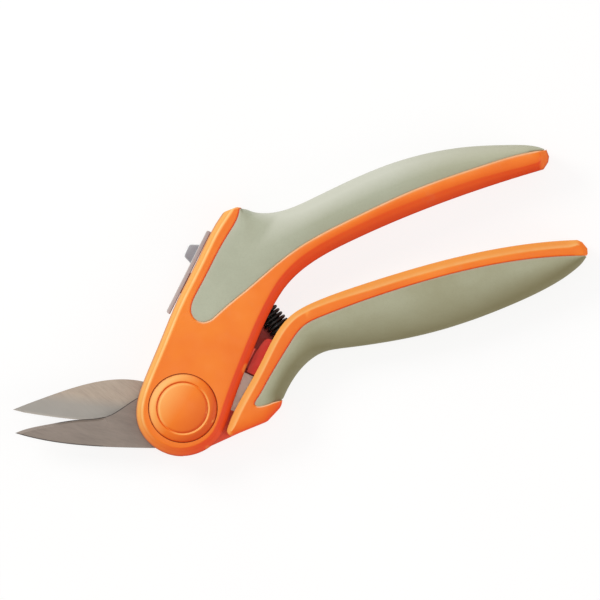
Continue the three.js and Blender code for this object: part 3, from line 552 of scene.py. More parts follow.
# ------------------------------------------------------------------ outlines, smoothed
body_edge = smooth(BODY_EDGE)
handle_top = smooth(HANDLE_TOP + TOP_CORNER[:1])
top_corner = straight(TOP_CORNER)
handle_end = straight(HANDLE_END, 0.7)
whole = ccw(np.vstack([body_edge, handle_end[1:], handle_top[1:], top_corner[1:-1]]))
grip_line = smooth(UPPER_GRIP_LINE)
inner_edge = smooth(INNER_EDGE)
lower_end = straight(LOWER_END, 0.7)
outer_edge = smooth(OUTER_EDGE)
wedge_edge = np.vstack([
    smooth(WEDGE_TOP, 0.5)[:-1], straight([WEDGE_TOP[-1], WEDGE_SIDE[0]])[:-1],
    smooth(WEDGE_SIDE, 0.3)[:-1], straight([WEDGE_SIDE[-1], WEDGE_TIP[0]])[:-1],
    smooth(WEDGE_TIP, 0.4)])
lower_whole = ccw(np.vstack([inner_edge, lower_end[1:], outer_edge[1:], wedge_edge[1:-1]]))

# ------------------------------------------------------------------ orange covers
# edge sections, (distance from the edge, height against the flat face)
CHAMFER = [   # distance in chamfer widths
    (0, -3.08), (0.035, -2.92), (0.09, -2.74), (0.5, -1.42), (0.58, -1.2), (0.66, -1.0),
    (0.9, -0.36), (0.96, -0.19), (1.02, -0.1), (1.1, -0.06), (2.0, -0.03), (3.4, -0.01), (5, 0)]
CORNER = [(0, -0.75), (0.12, -0.45), (0.5, -0.08), (0.8, 0)]
LIP = [(0, -0.40), (0.08, -0.30), (0.22, -0.15), (0.42, -0.04), (0.6, 0)]
LIP_LEVELS = (0.08, 0.22, 0.42, 0.6)


def body_widths(p):
    """Chamfer width along the orange body's outer edge."""
    left, right = 2.75, 3.3
    x, across = p[:, 0], across_body(p)
    width = np.where(across < 0, left, right)
    width = np.where((across >= 0) & (x > 33),
                     np.interp(x, [33, 46, 80, 111, 126], [right, 4.1, 4.5, 4.0, 3.2]), width)
    width = np.where(x > 128, 3.0, width)
    width = np.where((up_body(p) < 8) & (x < 25),
                     np.interp(across, [-14, 14], [left, right]), width)
    return averaged(width, 9)


# the edge is carried on past the top corner, so the chamfer runs out through it
onward = body_edge[0] - body_edge[6]
onward /= np.hypot(*onward)
lead_in = np.array([body_edge[0] + onward * t for t in np.arange(12.0, 0.3, -0.6)])
outer_run = np.vstack([lead_in, body_edge, handle_end[1:]])
outer = Course(outer_run, False, body_widths(outer_run))
corner = Course(top_corner)
grip_side = Course(grip_line)
orange_rim = ccw(np.vstack([body_edge, handle_end[1:], grip_line[::-1], top_corner[1:-1]]))
inside_orange = within(orange_rim)


def orange_height(p):
    edge, width = outer.near(p)
    seam = grip_side.away(p)
    crown = (np.interp(p[:, 0], [38, 60], [0, 0.4])
             * (1 - np.clip((edge - width) / 3.0, 0, 1)) ** 2)
    shoulder = np.interp(p[:, 0], [34, 50], [0, 0.2]) * np.clip(1 - seam / 1.8, 0, 1) ** 2
    edges = np.minimum(graph(edge / width, CHAMFER) - crown, graph(corner.away(p), CORNER))
    return HALF + edges + graph(seam, LIP) - shoulder


def half_core(rim, rise, foot):
    """The hard core under the grips: full over the body, lower along the handle, sloped rim."""
    slope = 2.6
    course = Course(rim, True)
    points, triangles = flat_net(rim, course.moved(slope, 1.8), 5.0)
    height = np.interp(up_body(points), [56, 66], [7.9, 6.5])
    top = MID + rise + height - slope + np.minimum(course.away(points), slope)
    return solid("core", points, triangles, top, np.full(len(points), foot))


def below_on_body(outline, limit):
    """The part of an outline below `limit` up the body."""
    p = ccw(outline)
    over = up_body(p) - limit
    out = []
    for i in range(len(p)):
        j = (i + 1) % len(p)
        if over[i] <= 0:
            out.append(p[i])
        if (over[i] <= 0) != (over[j] <= 0):
            out.append(p[i] + (p[j] - p[i]) * (over[i] / (over[i] - over[j])))
    return dedupe(np.array(out))


SCREWS = [on_body(52.9, 4.2), (21.4, 65.6), on_body(16.6, -13.6), (62.6, 73.6), (100.2, 89.9)]
DOWELS = [on_body(16.5, -3.5), on_body(27, -5)]
BODY_ROOM = below_on_body(inset(whole, 2.6), 57)
HANDLE_ROOM = inset(whole, SKIN + 2.2)
REAR_MOUTH = [(0, -13), (0, -24), (22, -24), (30, -2), (44, 32), (46, 44), (37.6, 45.2),
              (31.6, 42), (22, 22), (12, -2), (6, -12)]
BLADE_MOUTH = [(-4.5, -12), (-9.6, -24), (-30, -20), (-30, 16), (-15.6, 11.6), (-11, 9.9)]
LOCK_SLOT = body_points((30.4, -24), (47.1, -24), (47.1, -15), (30.4, -15))
HUB_ROOM = arc(13.9, 0, 354, 59)
TANG_ROOM = body_points((8, -12), (33, -12), (33, 2), (24, 12), (8, 14))
core_rim = inset(whole, SKIN)
BOSS_TOP = MID + 7.2


def half_tools(front):
    """What is added to and cut out of one cover, both built on the front side."""
    tools = [add(half_core(core_rim, 0, FOOT)),
             cut(prism(BODY_ROOM, BELOW, MID + 7)),
             cut(prism(HANDLE_ROOM, BELOW, MID + 5.4))]
    for place in SCREWS:
        tools.append(add(rod(place, 2.8, FOOT, BOSS_TOP)))
        if not front:
            tools.append(add(rod(place, 3.5, MID + 4.6, MID + 7.1)))
    tools += [add(rod(place, 3, FOOT, BOSS_TOP)) for place in DOWELS]
    tools.append(add(rod(PIVOT, 8.5, MID + (2.8 if front else 6), MID + 7.3, 64)))
    for outline, depth in ((REAR_MOUTH, 7), (BLADE_MOUTH, 2.45), (LOCK_SLOT, 1.7),
                           (HUB_ROOM, 2.35), (TANG_ROOM, 2.35)):
        tools.append(cut(prism(outline, BELOW, MID + depth)))
    tools.append(cut(rod(PIVOT, PIVOT_BORE, MID - 8, MID + 20, 48)))
    # a round seat at the pivot in front, a six-sided one behind; above it the cap's recess
    seat_z, seat_sides, recess_z = (16.5, 48, 19.2) if front else (MID + 6.4, 6, MID + 8.6)
    tools.append(cut(rod(PIVOT, 6.2, seat_z, 30, seat_sides)))
    tools.append(cut(rod(PIVOT, 13.05, recess_z, 30, 128)))
    for place in SCREWS:
        tools.append(cut(rod(place, PIN_BORE, BELOW, MID + (6.2 if front else 14), 24)))
        if not front:
            tools.append(cut(rod(place, 2.85, MID + 6.4, MID + 14)))
    tools += [cut(rod(place, 1.68, BELOW, MID + 6.2, 24)) for place in DOWELS]
    return tools


lines = []
for level in (0.035, 0.09, 0.28, 0.5, 0.58, 0.66, 0.74, 0.82, 0.9, 0.96, 1.02, 1.1, 1.4, 1.8):
    lines += outer.moved(level, 0.8 if level < 1.3 else 1.4, inside_orange)
for level in (0.12, 0.5, 0.8):
    lines += corner.moved(level, 0.5, inside_orange)
lines += both_sides(grip_line[::-1], LIP_LEVELS + (1.1, 1.8), 0.7, inside_orange)
net = flat_net(orange_rim, lines, 2.2)
heights = MID + orange_height(net[0]), np.full(len(net[0]), FOOT)
front_cover = combine(solid("front_cover_shell", *net, *heights), half_tools(True))
rear_cover = combine(solid("rear_cover_shell", *net, *heights), half_tools(False))
turn_over(rear_cover)

# the return spring lies at the shear plane, between a seat on the rear cover and the lower handle
SPRING_TURN = math.radians(-50)
SPRING_AXIS = np.array([math.cos(SPRING_TURN), math.sin(SPRING_TURN)])
SPRING_SIDE = np.array([-SPRING_AXIS[1], SPRING_AXIS[0]])
SPRING_AT = np.array([33.9, 32.86])          # middle of the spring
SPRING_LENGTH = 17.0
POST_RADIUS = 2.5


def on_spring(along, across):
    return tuple(SPRING_AT + SPRING_AXIS * along + SPRING_SIDE * across)


def spring_matrix(start):
    return (Matrix.Translation((*(start * MM), MID * MM))
            @ Matrix.Rotation(SPRING_TURN, 4, "Z"))


def spring_bar(radius, start, end, dome=0.0):
    """A round bar along the spring's axis, its far end domed if asked."""
    tip = [(radius, end)]
    if dome:
        tip = [(radius, end - dome), (radius - dome * 0.3, end - dome * 0.3),
               (radius - dome, end)]
    o = turned("tool", [(0, start), (radius, start), *tip, (0, end)], 48)
    o.data.transform(spring_matrix(SPRING_AT) @ Matrix.Rotation(math.pi / 2, 4, "Y"))
    return o


spring_seat = [on_spring(-10.7, -4.6), on_spring(-8.8, -4.6),
               on_spring(-8.8, 4.6), on_spring(-10.7, 4.6)]
combine(rear_cover, [add(prism(spring_seat, MID - 7.2, MID + 4.8)),
                     add(spring_bar(POST_RADIUS, -9.5, -5.9, dome=0.6))])

# ------------------------------------------------------------------ soft grips
GRIP_GAP = 0.012        # between a grip and the orange plastic
GRIP_RISE = 9.52        # height of a grip's shoulder
CORE_GAP = 0.18         # between the core and the grip's hollow, sideways
UPPER_TIP = (136.1, 96.8)
GRIP_LIP = [(0, -0.16), (0.12, -0.055), (0.3, -0.015), (0.55, 0)]


def soft_height(p, sky, bound, main, low, reach, bulge):
    """Rounded up from `low` at the outer edge, with a lip at the seam and a slight swell.

    The rounding ends `reach` of the way from the outer edge to the main seam."""
    edge, seam = sky.away(p), main.away(p)
    share = edge / np.maximum(edge + seam, 1e-6)
    rounded_share = np.clip(share / reach, 0, 1)
    across = np.sqrt(np.maximum(0, 1 - (1 - rounded_share) ** 2))
    lip = graph(bound.away(p), GRIP_LIP)
    swell = bulge * np.clip((edge + seam) / 9.0, 0, 1) * np.sin(np.pi * np.clip(share, 0, 1))
    return low + (GRIP_RISE - low) * across + lip + swell


def grip_net(rim, sky_run, bound_run, bound_levels):
    inside = within(rim)
    lines = both_sides(sky_run, (0.12, 0.35, 0.7, 1.15, 1.75, 2.5, 3.5, 4.8), 0.9, inside)
    lines += both_sides(bound_run, bound_levels, 0.7, inside)
    return flat_net(rim, lines, 1.7)


def starting_near(run, place):
    return run[::-1] if distance(run[0], place) > distance(run[-1], place) else run


# upper handle, one pad on each side
runs = [run for line in (grip_line[::-1], grip_line)
        for _, run in Course(line).moved(GRIP_GAP, 0.7)]
bound_run = max(runs, key=lambda run: (~inside_orange(run)).sum())
bound_run = starting_near(bound_run, grip_line[0])
bound_run = bound_run[distance(bound_run, UPPER_TIP) > 0.6]
sky_run = handle_top[handle_top[:, 0] < 135.9]
net = grip_net(ccw(np.vstack([bound_run, sky_run])), sky_run, bound_run, (0.12, 0.3, 0.55))
bound = Course(bound_run)
height = soft_height(net[0], Course(sky_run), bound, bound, low=1.6, reach=0.78, bulge=0.5)
top = MID + height
narrow_end = graph(distance(net[0], UPPER_TIP), [(0, 0.62), (3.0, 0.82), (7.0, 1.0)])
heights = MID + (top - MID) * narrow_end, np.full(len(net[0]), FOOT)
front_pad = solid("upper_grip_front_pad", *net, *heights)
rear_pad = solid("upper_grip_rear_pad", *net, *heights)
hollow_rim = grown(core_rim, CORE_GAP)
combine(front_pad, [cut(half_core(hollow_rim, 0.16, MID - 2))])
combine(rear_pad, [cut(half_core(hollow_rim, 0.16, MID - 2))]
        + [cut(rod(place, 3.05, MID + 2, MID + 14, 48)) for place in SCREWS])
turn_over(rear_pad)

# ------------------------------------------------------------------ lower handle
# edge sections, (distance from the edge, height against the flat face)
LOW_CHAMFER = [   # both in chamfer widths
    (0, -0.96), (0.04, -0.9), (0.1, -0.84), (0.86, -0.17), (0.95, -0.085), (1.05, -0.03),
    (1.2, -0.012), (1.7, 0), (2.4, 0)]
WEDGE_ROUND = [(0, -1.9), (0.08, -1.6), (0.3, -1.28), (0.7, -0.98), (1.3, -0.7), (2.0, -0.46),
               (3.0, -0.22), (4.2, -0.06), (5.5, 0)]


def low_widths(p):
    """Chamfer width along the lower handle's edge, running out at the wedge's tip."""
    width = np.interp(p[:, 0], [14, 20, 30, 42, 52, 70, 120, 146, 148],
                      [2.5, 2.5, 2.15, 2.0, 2.3, 2.9, 2.9, 2.7, 1.6])
    width[:7] = np.linspace(1.6, 2.5, 7)
    return averaged(width, 7)


# the chamfered run goes round the wedge's tip, along the inner edge and round the handle's end
low_outer_run = np.vstack([wedge_edge[-7:], inner_edge[1:], lower_end[1:]])
low_outer = Course(low_outer_run, False, low_widths(low_outer_run))
low_seam_run = smooth(LOWER_GRIP_LINE, 0.6)
low_side = Course(low_seam_run)
wedge_side = Course(wedge_edge)
low_rim = ccw(np.vstack([inner_edge, lower_end[1:-1], low_seam_run, wedge_edge[1:-1]]))
inside_low = within(low_rim)


def low_height(p):
    edge, width = low_outer.near(p)
    edges = np.minimum(graph(edge / width, LOW_CHAMFER) * width,
                       graph(wedge_side.away(p), WEDGE_ROUND))
    return HALF + edges + graph(low_side.away(p), LIP)


def double_core(rim, rise):
    """The lower handle's hard core, its rim sloped on both sides."""
    slope = 2.4
    course = Course(rim, True)
    points, triangles = flat_net(rim, course.moved(slope, 1.8), 5.0)
    height = rise - slope + np.minimum(course.away(points), slope)
    return solid("core", points, triangles, MID + height, MID - height)


# plates at the pivot end, (outline, bottom, top)
TONGUE = arc(13.4, 65, 262, 48) + [(3, -15.4), (8.6, -15.2), (20.6, -9.72), (25, -2), (26, 8),
                                   (20, 7), (12, 8)]
RIB_ROUND = body_points(
    (23.4, 15.24), (26.5, 15.1), (29.8, 15.0), (33.3, 15.35), (35.8, 15.85), (37.0, 16.35),
    (37.6, 17.1), (37.75, 18.1), (37.7, 19.2), (37.7, 20.5))
RIB = body_points((22.9, 20.5), (22.9, 15.5), (23.1, 15.28)) + smooth(RIB_ROUND, 0.5).tolist()
SLOT_FLOOR = MID - 2.2               # floor of the slot the moving blade's tang lies in
PLATES = [
    (TONGUE, 5.7, SLOT_FLOOR),
    (body_points((12, 14.4), (22, 12.8), (37.2, 12.4), (37.4, 20.6), (12, 20.6)), 5, SLOT_FLOOR),
    (body_points((36, 12.0), (41.2, 11.2), (42.4, 13.6), (41.4, 20.6), (36, 20.6)), 5, 6.15),
    (body_points((36, 12.2), (40.4, 11.8), (39.6, 13.9), (38.4, 16.6), (37.3, 18.9), (36, 20.6)),
     5, SLOT_FLOOR),
    (RIB, 5, 15.6),
    (body_points((24, 13.4), (32, 13.4), (32, 16.4), (24, 16.4)), 11.4, 13.4),
    (body_points((24, 13.4), (32, 13.4), (32, 14.35), (24, 14.35)), 13, 17.7)]
PINS = [on_body(17.5, 25.2), on_body(29, 24.9)]
TANG = body_points(
    (20.4, 8.6), (22.1, 11.6), (22.4, 19.6), (31.4, 21.2), (33, 22.8), (33, 26.6), (31.4, 28),
    (14.5, 28), (10.2, 25), (7.2, 20.4), (7.5, 16.9), (5.4, 11.6))
moving_top = smooth(MOVING_BLADE_TOP)
moving_outline = ccw(np.vstack([moving_top, arc(13, 132, 52, 20), TANG, arc(13, -15, -125, 24),
                                smooth(MOVING_BLADE_BOTTOM)]))

lines = both_sides(low_outer_run, (0.04, 0.1, 0.5, 0.86, 0.95, 1.05, 1.2), 0.75, inside_low,
                   low_outer.width)
lines += both_sides(wedge_edge, (0.08, 0.3, 0.7, 1.3, 2.0, 3.0), 0.75, inside_low)
lines += both_sides(low_seam_run[::-1], LIP_LEVELS, 0.7, inside_low)
net = flat_net(low_rim, lines, 2.0)
height = low_height(net[0])
low_core_rim = inset(lower_whole, SKIN)
lower_body = solid("lower_handle_body", *net, MID + height, MID - height)
combine(lower_body, [
    add(double_core(low_core_rim, 6.6)),
    *[add(prism(*plate)) for plate in PLATES],
    cut(spring_bar(4.95, -6, 8.8)),
    cut(prism(grown(moving_outline, 0.16), SLOT_FLOOR, FOOT)),
    cut(rod(PIVOT, PIVOT_BORE, -1, 30, 48)),
    *[cut(rod(place, PIN_BORE, 4.7, 17.3, 24)) for place in PINS],
    add(spring_bar(POST_RADIUS, 5.9, 9.5))])

# soft grip, wrapped round the lower handle's outer edge
runs = [np.vstack([run for _, run in Course(line).moved(GRIP_GAP, 0.6)])
        for line in (low_seam_run, low_seam_run[::-1])]
bound_run = max(runs, key=lambda run: (~inside_low(run)).mean())
bound_run = starting_near(bound_run, low_seam_run[0])
bound_run = bound_run[bound_run[:, 0] < 151.0]
bound_run = bound_run[distance(bound_run, outer_edge[-1]) > 0.25]
sky_run = outer_edge[outer_edge[:, 0] < 151.4]
sky_run = sky_run[distance(sky_run, LOWER_GRIP_LINE[-1]) > 0.12]
low_sky = Course(sky_run)
low_pad_rim = ccw(np.vstack([bound_run, sky_run[::-1]]))
net = grip_net(low_pad_rim, sky_run, bound_run, (0.12, 0.3, 0.55, 1.0))
height = soft_height(net[0], low_sky, Course(bound_run),
                     Course(smooth(LOWER_GRIP_LINE[:LONG_SEAM_POINTS])),
                     low=2.0, reach=0.9, bulge=0.35)
lower_pad = solid("lower_grip_pad", *net, MID + height, MID - height)
combine(lower_pad, [cut(double_core(grown(low_core_rim, CORE_GAP), 6.76))])


# ------------------------------------------------------------------ blades
def blade(name, outline, edge, spine, z_flat, z_back, bevel, pins, relief=None, extra=()):
    """A blade flat at z_flat, ground from its cutting edge to z_back over `bevel`.

    `relief` lowers the flat face; `extra` gives more (run, distances) for lines in the mesh."""
    rim = ccw(outline)
    inside = within(rim)
    lines = both_sides(edge, (bevel * 0.5, bevel, bevel + 0.12), 0.7, inside)
    lines += both_sides(spine, (0.14,), 0.7, inside)
    for run, amounts in extra:
        lines += both_sides(run, amounts, 0.5, inside)
    points, triangles = flat_net(rim, lines, 2.4)
    sign = 1 if z_back > z_flat else -1
    thick = abs(z_back - z_flat)
    grind = graph(Course(edge).away(points),
                  [(0, 0.22), (bevel, thick - 0.03), (bevel + 0.12, thick)])
    broken = graph(Course(spine).away(points), [(0, thick - 0.14), (0.14, thick)])
    back = z_flat + sign * np.minimum(grind, broken)
    flat = np.full(len(points), float(z_flat))
    if relief:
        flat = flat - sign * relief(points)
    o = solid(name, points, triangles, np.maximum(back, flat), np.minimum(back, flat))
    holes = [(PIVOT, 3.6)] + [(place, PIN_BORE) for place in pins]
    return combine(o, [cut(rod(place, radius, 0, 30, 48)) for place, radius in holes])


fixed_top = smooth(FIXED_BLADE_TOP, 0.6)
fixed_bottom = smooth(FIXED_BLADE_BOTTOM)
fixed_tang = body_points((20, -10.4), (30, -9.6), (32.4, -6.5), (32.4, -3.2), (30, -0.4),
                         (20, 1.6))
fixed_outline = np.vstack([fixed_top, arc(13.6, 140, 110, 8), fixed_tang, arc(13.6, 50, -80, 40),
                           FIXED_BLADE_HEEL, fixed_bottom[:-1]])
fixed_blade = blade(
    "fixed_blade_ground", fixed_outline, fixed_top[fixed_top[:, 0] < -30], fixed_bottom,
    z_flat=11.1, z_back=13.1, bevel=0.95, pins=DOWELS,
    extra=[(fixed_top[fixed_top[:, 0] > -46], (0.17, 0.34)),
           (fixed_bottom[fixed_bottom[:, 0] < -26], (0.28, 0.46))])

moving_bottom = smooth([MOVING_BLADE_TOP[0]] + MOVING_BLADE_BOTTOM[::-1], 0.6)
moving_edge = moving_bottom[moving_bottom[:, 0] < -34]
edge_line = Course(moving_edge)


def hollow(p):
    """The inner face is relieved behind the cutting edge, so the blades touch only at the edge."""
    fade = np.clip((np.hypot(p[:, 0], p[:, 1]) - 19) / 8, 0, 1)
    depth = np.interp(edge_line.away(p), [0, 1.0, 4.5, 9.0, 14], [0.15, 0.35, 1.0, 0.6, 0.1])
    return -0.16 * depth * fade


moving_blade = blade("moving_blade_ground", moving_outline, moving_edge, moving_top,
                     z_flat=10.9, z_back=8.9, bevel=1.7, pins=PINS, relief=hollow)


# ------------------------------------------------------------------ pivot caps
def rounded(profile, radius, steps):
    """Rounds the corners of a profile."""
    points = [np.array(q, float) for q in profile]
    out = [tuple(points[0])]
    for a, b, c in zip(points, points[1:], points[2:]):
        before, after = np.linalg.norm(a - b), np.linalg.norm(c - b)
        reach = min(radius, before * 0.45, after * 0.45)
        start, end = b + (a - b) / before * reach, b + (c - b) / after * reach
        for i in range(steps + 1):
            t = i / steps
            out.append(tuple(start * (1 - t) ** 2 + 2 * b * t * (1 - t) + end * t * t))
    out.append(tuple(points[-1]))
    return out


def dome(radius, z_rim, z_top, count=22):
    """A shallow crown from its rim to the axis."""
    return [(radius * (1 - i / count), z_top - (z_top - z_rim) * (1 - i / count) ** 2.1)
            for i in range(count + 1)]


# (radius, z)
FRONT_CAP_RIM = [(0, 19.35), (12.85, 19.35), (12.85, 20.25), (12.62, 20.5), (11.9, 20.86),
                 (11.2, 21.14), (10.5, 21.36), (9.98, 21.46), (9.7, 21.14), (9.4, 21.02),
                 (9.16, 21.34), (8.86, 21.56)]
REAR_CAP = [(0, 0.0), (8.7, 0.0), (9.05, 0.5), (9.35, 0.5), (9.8, 0.22), (12.35, 0.62),
            (12.85, 1.15), (12.85, 2.25), (0, 2.25)]
front_cap = turned("pivot_cap_front_disc",
                   rounded(FRONT_CAP_RIM, 0.2, 5) + dome(8.5, 21.66, 22.5), 160)
rear_cap = turned("pivot_cap_rear_disc", rounded(REAR_CAP, 0.2, 4), 160)

# ------------------------------------------------------------------ return spring
COIL_RADIUS = 4.05
WIRE = 0.56                          # radius of the wire
TURNS = 10.5
PER_TURN, AROUND = 36, 12            # mesh steps along a turn and around the wire
CLOSED = 0.09                        # share of the turns closed up at each end
spring_start = SPRING_AT - SPRING_AXIS * SPRING_LENGTH / 2


def coil(name):
    count = int(TURNS * PER_TURN)
    t = np.linspace(0, 1, count + 1)
    angle = t * TURNS * 2 * math.pi
    end_length = CLOSED * TURNS * (2 * WIRE + 0.04)
    open_length = SPRING_LENGTH - 2 * WIRE - 2 * end_length
    x = (np.minimum(t, CLOSED) / CLOSED * end_length
         + np.clip((t - CLOSED) / (1 - 2 * CLOSED), 0, 1) * open_length
         + np.maximum(0, t - (1 - CLOSED)) / CLOSED * end_length)
    centre = np.column_stack([x + WIRE, COIL_RADIUS * np.cos(angle),
                              -COIL_RADIUS * np.sin(angle)])
    tangent = np.gradient(centre, axis=0)
    tangent /= np.linalg.norm(tangent, axis=1)[:, None]
    out = np.column_stack([np.zeros(count + 1), np.cos(angle), -np.sin(angle)])
    out -= (out * tangent).sum(1)[:, None] * tangent
    out /= np.linalg.norm(out, axis=1)[:, None]
    side = np.cross(tangent, out)
    round_wire = [2 * math.pi * j / AROUND for j in range(AROUND)]
    verts = [centre[i] + WIRE * (math.cos(b) * out[i] + math.sin(b) * side[i])
             for i in range(count + 1) for b in round_wire]
    faces = []
    for here in range(0, count * AROUND, AROUND):
        ahead = here + AROUND
        for j in range(AROUND):
            k = (j + 1) % AROUND
            faces.append((here + j, here + k, ahead + k, ahead + j))
    faces.append(tuple(range(AROUND))[::-1])
    faces.append(tuple(range(count * AROUND, (count + 1) * AROUND)))
    o = new_object(name, verts, faces)
    o.data.transform(spring_matrix(spring_start))
    return face_outward(o)


spring = coil("return_spring_coil")


# ------------------------------------------------------------------ slide lock
def lock_part(across_up, half_thickness, name="tool"):
    """A prism centred on the shear plane, its outline given as (across the body, up it)."""
    outline = [on_body(up, across) for across, up in across_up]
    return prism(outline, MID - half_thickness, MID + half_thickness, name)


slider = lock_part([(-21.85, 29.9), (-21.5, 29.35), (-20.9, 29.2), (-20.22, 29.2),
                    (-20.22, 63.7), (-21.2, 63.7), (-21.7, 63.5), (-21.85, 63.1)],
                   4, "lock_slider_shoe")
soften(slider, 0.22, 3)
thumb = lock_part([(-21.3, 49.4), (-22.4, 50.0), (-24.7, 50.85), (-25.25, 51.2), (-25.5, 51.9),
                   (-25.62, 55.3), (-25.5, 55.9), (-25.0, 56.25), (-21.3, 57.95)], 3.4)
soften(thumb, 0.55, 4)
neck = lock_part([(-20.6, 38), (-16.2, 38), (-16.2, 46.5), (-20.6, 46.5)], 1.4)
inner_block = [on_body(36.5, -16.5), on_body(36.5, -12.2), on_body(47.5, -12.2),
               on_body(47.5, -16.5)]
tools = [add(thumb), add(neck), add(prism(inner_block, 6.6, 15.9)),
         cut(rod(on_body(42.5, -14.3), 1.25, 8, 20, 24))]
for up in (52.75, 53.75, 54.75):     # grooves across the thumb piece
    face = -25.5 - (up - 52.2) * 0.035
    tools.append(cut(lock_part([(face - 0.5, up - 0.42), (face + 0.2, up),
                                (face - 0.5, up + 0.42)], 5)))
combine(slider, tools)

# ------------------------------------------------------------------ cover screws
SCREW_PROFILE = [(0, 2.46), (1.9, 2.44), (2.35, 2.5), (2.55, 2.66), (2.6, 2.85), (2.6, 4.45),
                 (1.45, 4.45), (1.45, 16.2), (1.1, 16.6), (0, 16.6)]
RECESS_PROFILE = [(0, 2.0), (0.95, 2.0), (0.75, 3.0), (0.2, 3.6), (0, 3.6)]


def screw(number, place):
    """A screw with its head to the rear and a cross recess in it."""
    x, y = place
    o = turned("cover_screw_%d_head" % number, rounded(SCREW_PROFILE, 0.12, 3), 48, place)
    tools = []
    for angle in (0.35, 0.35 + math.pi / 2):
        c, s = math.cos(angle), math.sin(angle)
        slot = [(x + c * along - s * across, y + s * along + c * across)
                for along, across in ((-1.55, -0.3), (1.55, -0.3), (1.55, 0.3), (-1.55, 0.3))]
        tools.append(cut(prism(slot, 1, 3.35)))
    tools.append(cut(turned("tool", RECESS_PROFILE, 24, place)))
    return combine(o, tools)


screws = [screw(i + 1, place) for i, place in enumerate(SCREWS)]


# ------------------------------------------------------------------ shader building
def rgb(red, green, blue):
    """An sRGB colour, 0 to 255, as linear values with alpha 1."""
    out = []
    for c in (red, green, blue):
        c /= 255.0
        out.append(c / 12.92 if c <= 0.04045 else ((c + 0.055) / 1.055) ** 2.4)
    return (*out, 1.0)


def lighter(colour, by):
    return rgb(*[min(255, v + by) for v in colour])


def darker(colour, factor):
    return rgb(*[int(v * factor) for v in colour])


KEY = Vector((-0.60, 0.42, 0.68)).normalized()       # direction of the key light


class Shader:
    """A node material round one Principled BSDF, with short ways to add nodes."""

    def __init__(self, name):
        self.material = bpy.data.materials.new(name)
        self.material.use_nodes = True
        self.tree = self.material.node_tree
        self.tree.nodes.clear()
        self.output = self.node("OutputMaterial")
        self.surface = self.node("BsdfPrincipled")
        self.put(self.output.inputs[0], self.surface.outputs[0])

    def node(self, kind, **settings):
        node = self.tree.nodes.new("ShaderNode" + kind)
        for key, value in settings.items():
            setattr(node, key, value)
        return node

    def put(self, socket, value):
        if isinstance(value, bpy.types.NodeSocket):
            self.tree.links.new(value, socket)
        else:
            socket.default_value = value

    def mapping(self, vector, scale, turn=0):
        node = self.node("Mapping")
        self.put(node.inputs["Vector"], vector)
        node.inputs["Scale"].default_value = scale
        node.inputs["Rotation"].default_value = (0, 0, turn)
        return node.outputs[0]

    def where(self, scale=(1, 1, 1), turn=0):
        """Object coordinates, scaled and turned about Z."""
        return self.mapping(self.node("TexCoord").outputs["Object"], scale, turn)

    def noise(self, place, scale, detail=4.0, rough=0.55, distort=0.0):
        node = self.node("TexNoise")
        for key, value in (("Vector", place), ("Scale", scale), ("Detail", detail),
                           ("Roughness", rough), ("Distortion", distort)):
            self.put(node.inputs[key], value)
        return node.outputs["Fac"]

    def ramp(self, fac, *stops):
        node = self.node("ValToRGB")
        self.put(node.inputs["Fac"], fac)
        elements = node.color_ramp.elements
        while len(elements) < len(stops):
            elements.new(0.5)
        for i, (position, colour) in enumerate(stops):
            elements[i].position = position
            elements[i].color = colour
        return node.outputs["Color"]

    def grey(self, fac, *stops):
        return self.ramp(fac, *[(position, (v, v, v, 1)) for position, v in stops])

    def mix(self, fac, a, b):
        node = self.node("Mix", data_type="RGBA")
        for i, value in ((0, fac), (6, a), (7, b)):
            self.put(node.inputs[i], value)
        return node.outputs[2]

    def math(self, operation, a, b=0.0):
        node = self.node("Math", operation=operation)
        self.put(node.inputs[0], a)
        self.put(node.inputs[1], b)
        return node.outputs[0]

    def times(self, value, *others):
        for other in others:
            value = self.math("MULTIPLY", value, other)
        return value

    def add(self, a, b):
        return self.math("ADD", a, b)

    def inverse(self, value):
        return self.math("SUBTRACT", 1.0, value)

    def attribute(self, name):
        return self.node("Attribute", attribute_name=name).outputs["Fac"]

    def geometry(self, output):
        return self.node("NewGeometry").outputs[output]

    def axes(self, vector):
        node = self.node("SeparateXYZ")
        self.put(node.inputs[0], vector)
        return node.outputs

    def edges(self, high=0.66):
        """1 on sharp outer edges."""
        return self.grey(self.geometry("Pointiness"), (0.53, 0.0), (high, 1.0))

    def hollows(self, distance=0.0006, low=0.1, high=0.5):
        """1 in crevices."""
        node = self.node("AmbientOcclusion", samples=6)
        node.inputs["Distance"].default_value = distance
        return self.grey(node.outputs["AO"], (low, 1.0), (high, 0.0))

    def to_key(self, low, high):
        """From 0 on faces turned away from the key light's side to 1 on faces towards it."""
        node = self.node("VectorMath", operation="DOT_PRODUCT")
        self.put(node.inputs[0], self.geometry("Normal"))
        node.inputs[1].default_value = (KEY.x, KEY.y, 0.0)
        half = self.add(self.times(node.outputs["Value"], 0.5), 0.5)
        return self.grey(half, (0.5 + low / 2, 0.0), (0.5 + high / 2, 1.0))

    def lying_flat(self):
        """1 on faces that lie or slope, a third of that on upright walls."""
        up = self.axes(self.geometry("Normal"))[2]
        return self.grey(self.math("ABSOLUTE", up), (0.06, 0.3), (0.42, 1.0))

    def bump(self, height, strength, distance):
        node = self.node("Bump")
        node.inputs["Strength"].default_value = strength
        node.inputs["Distance"].default_value = distance
        self.put(node.inputs["Height"], height)
        return node.outputs[0]

    def finish(self, **inputs):
        for key, value in inputs.items():
            self.put(self.surface.inputs[key.replace("_", " ")], value)
        return self.material


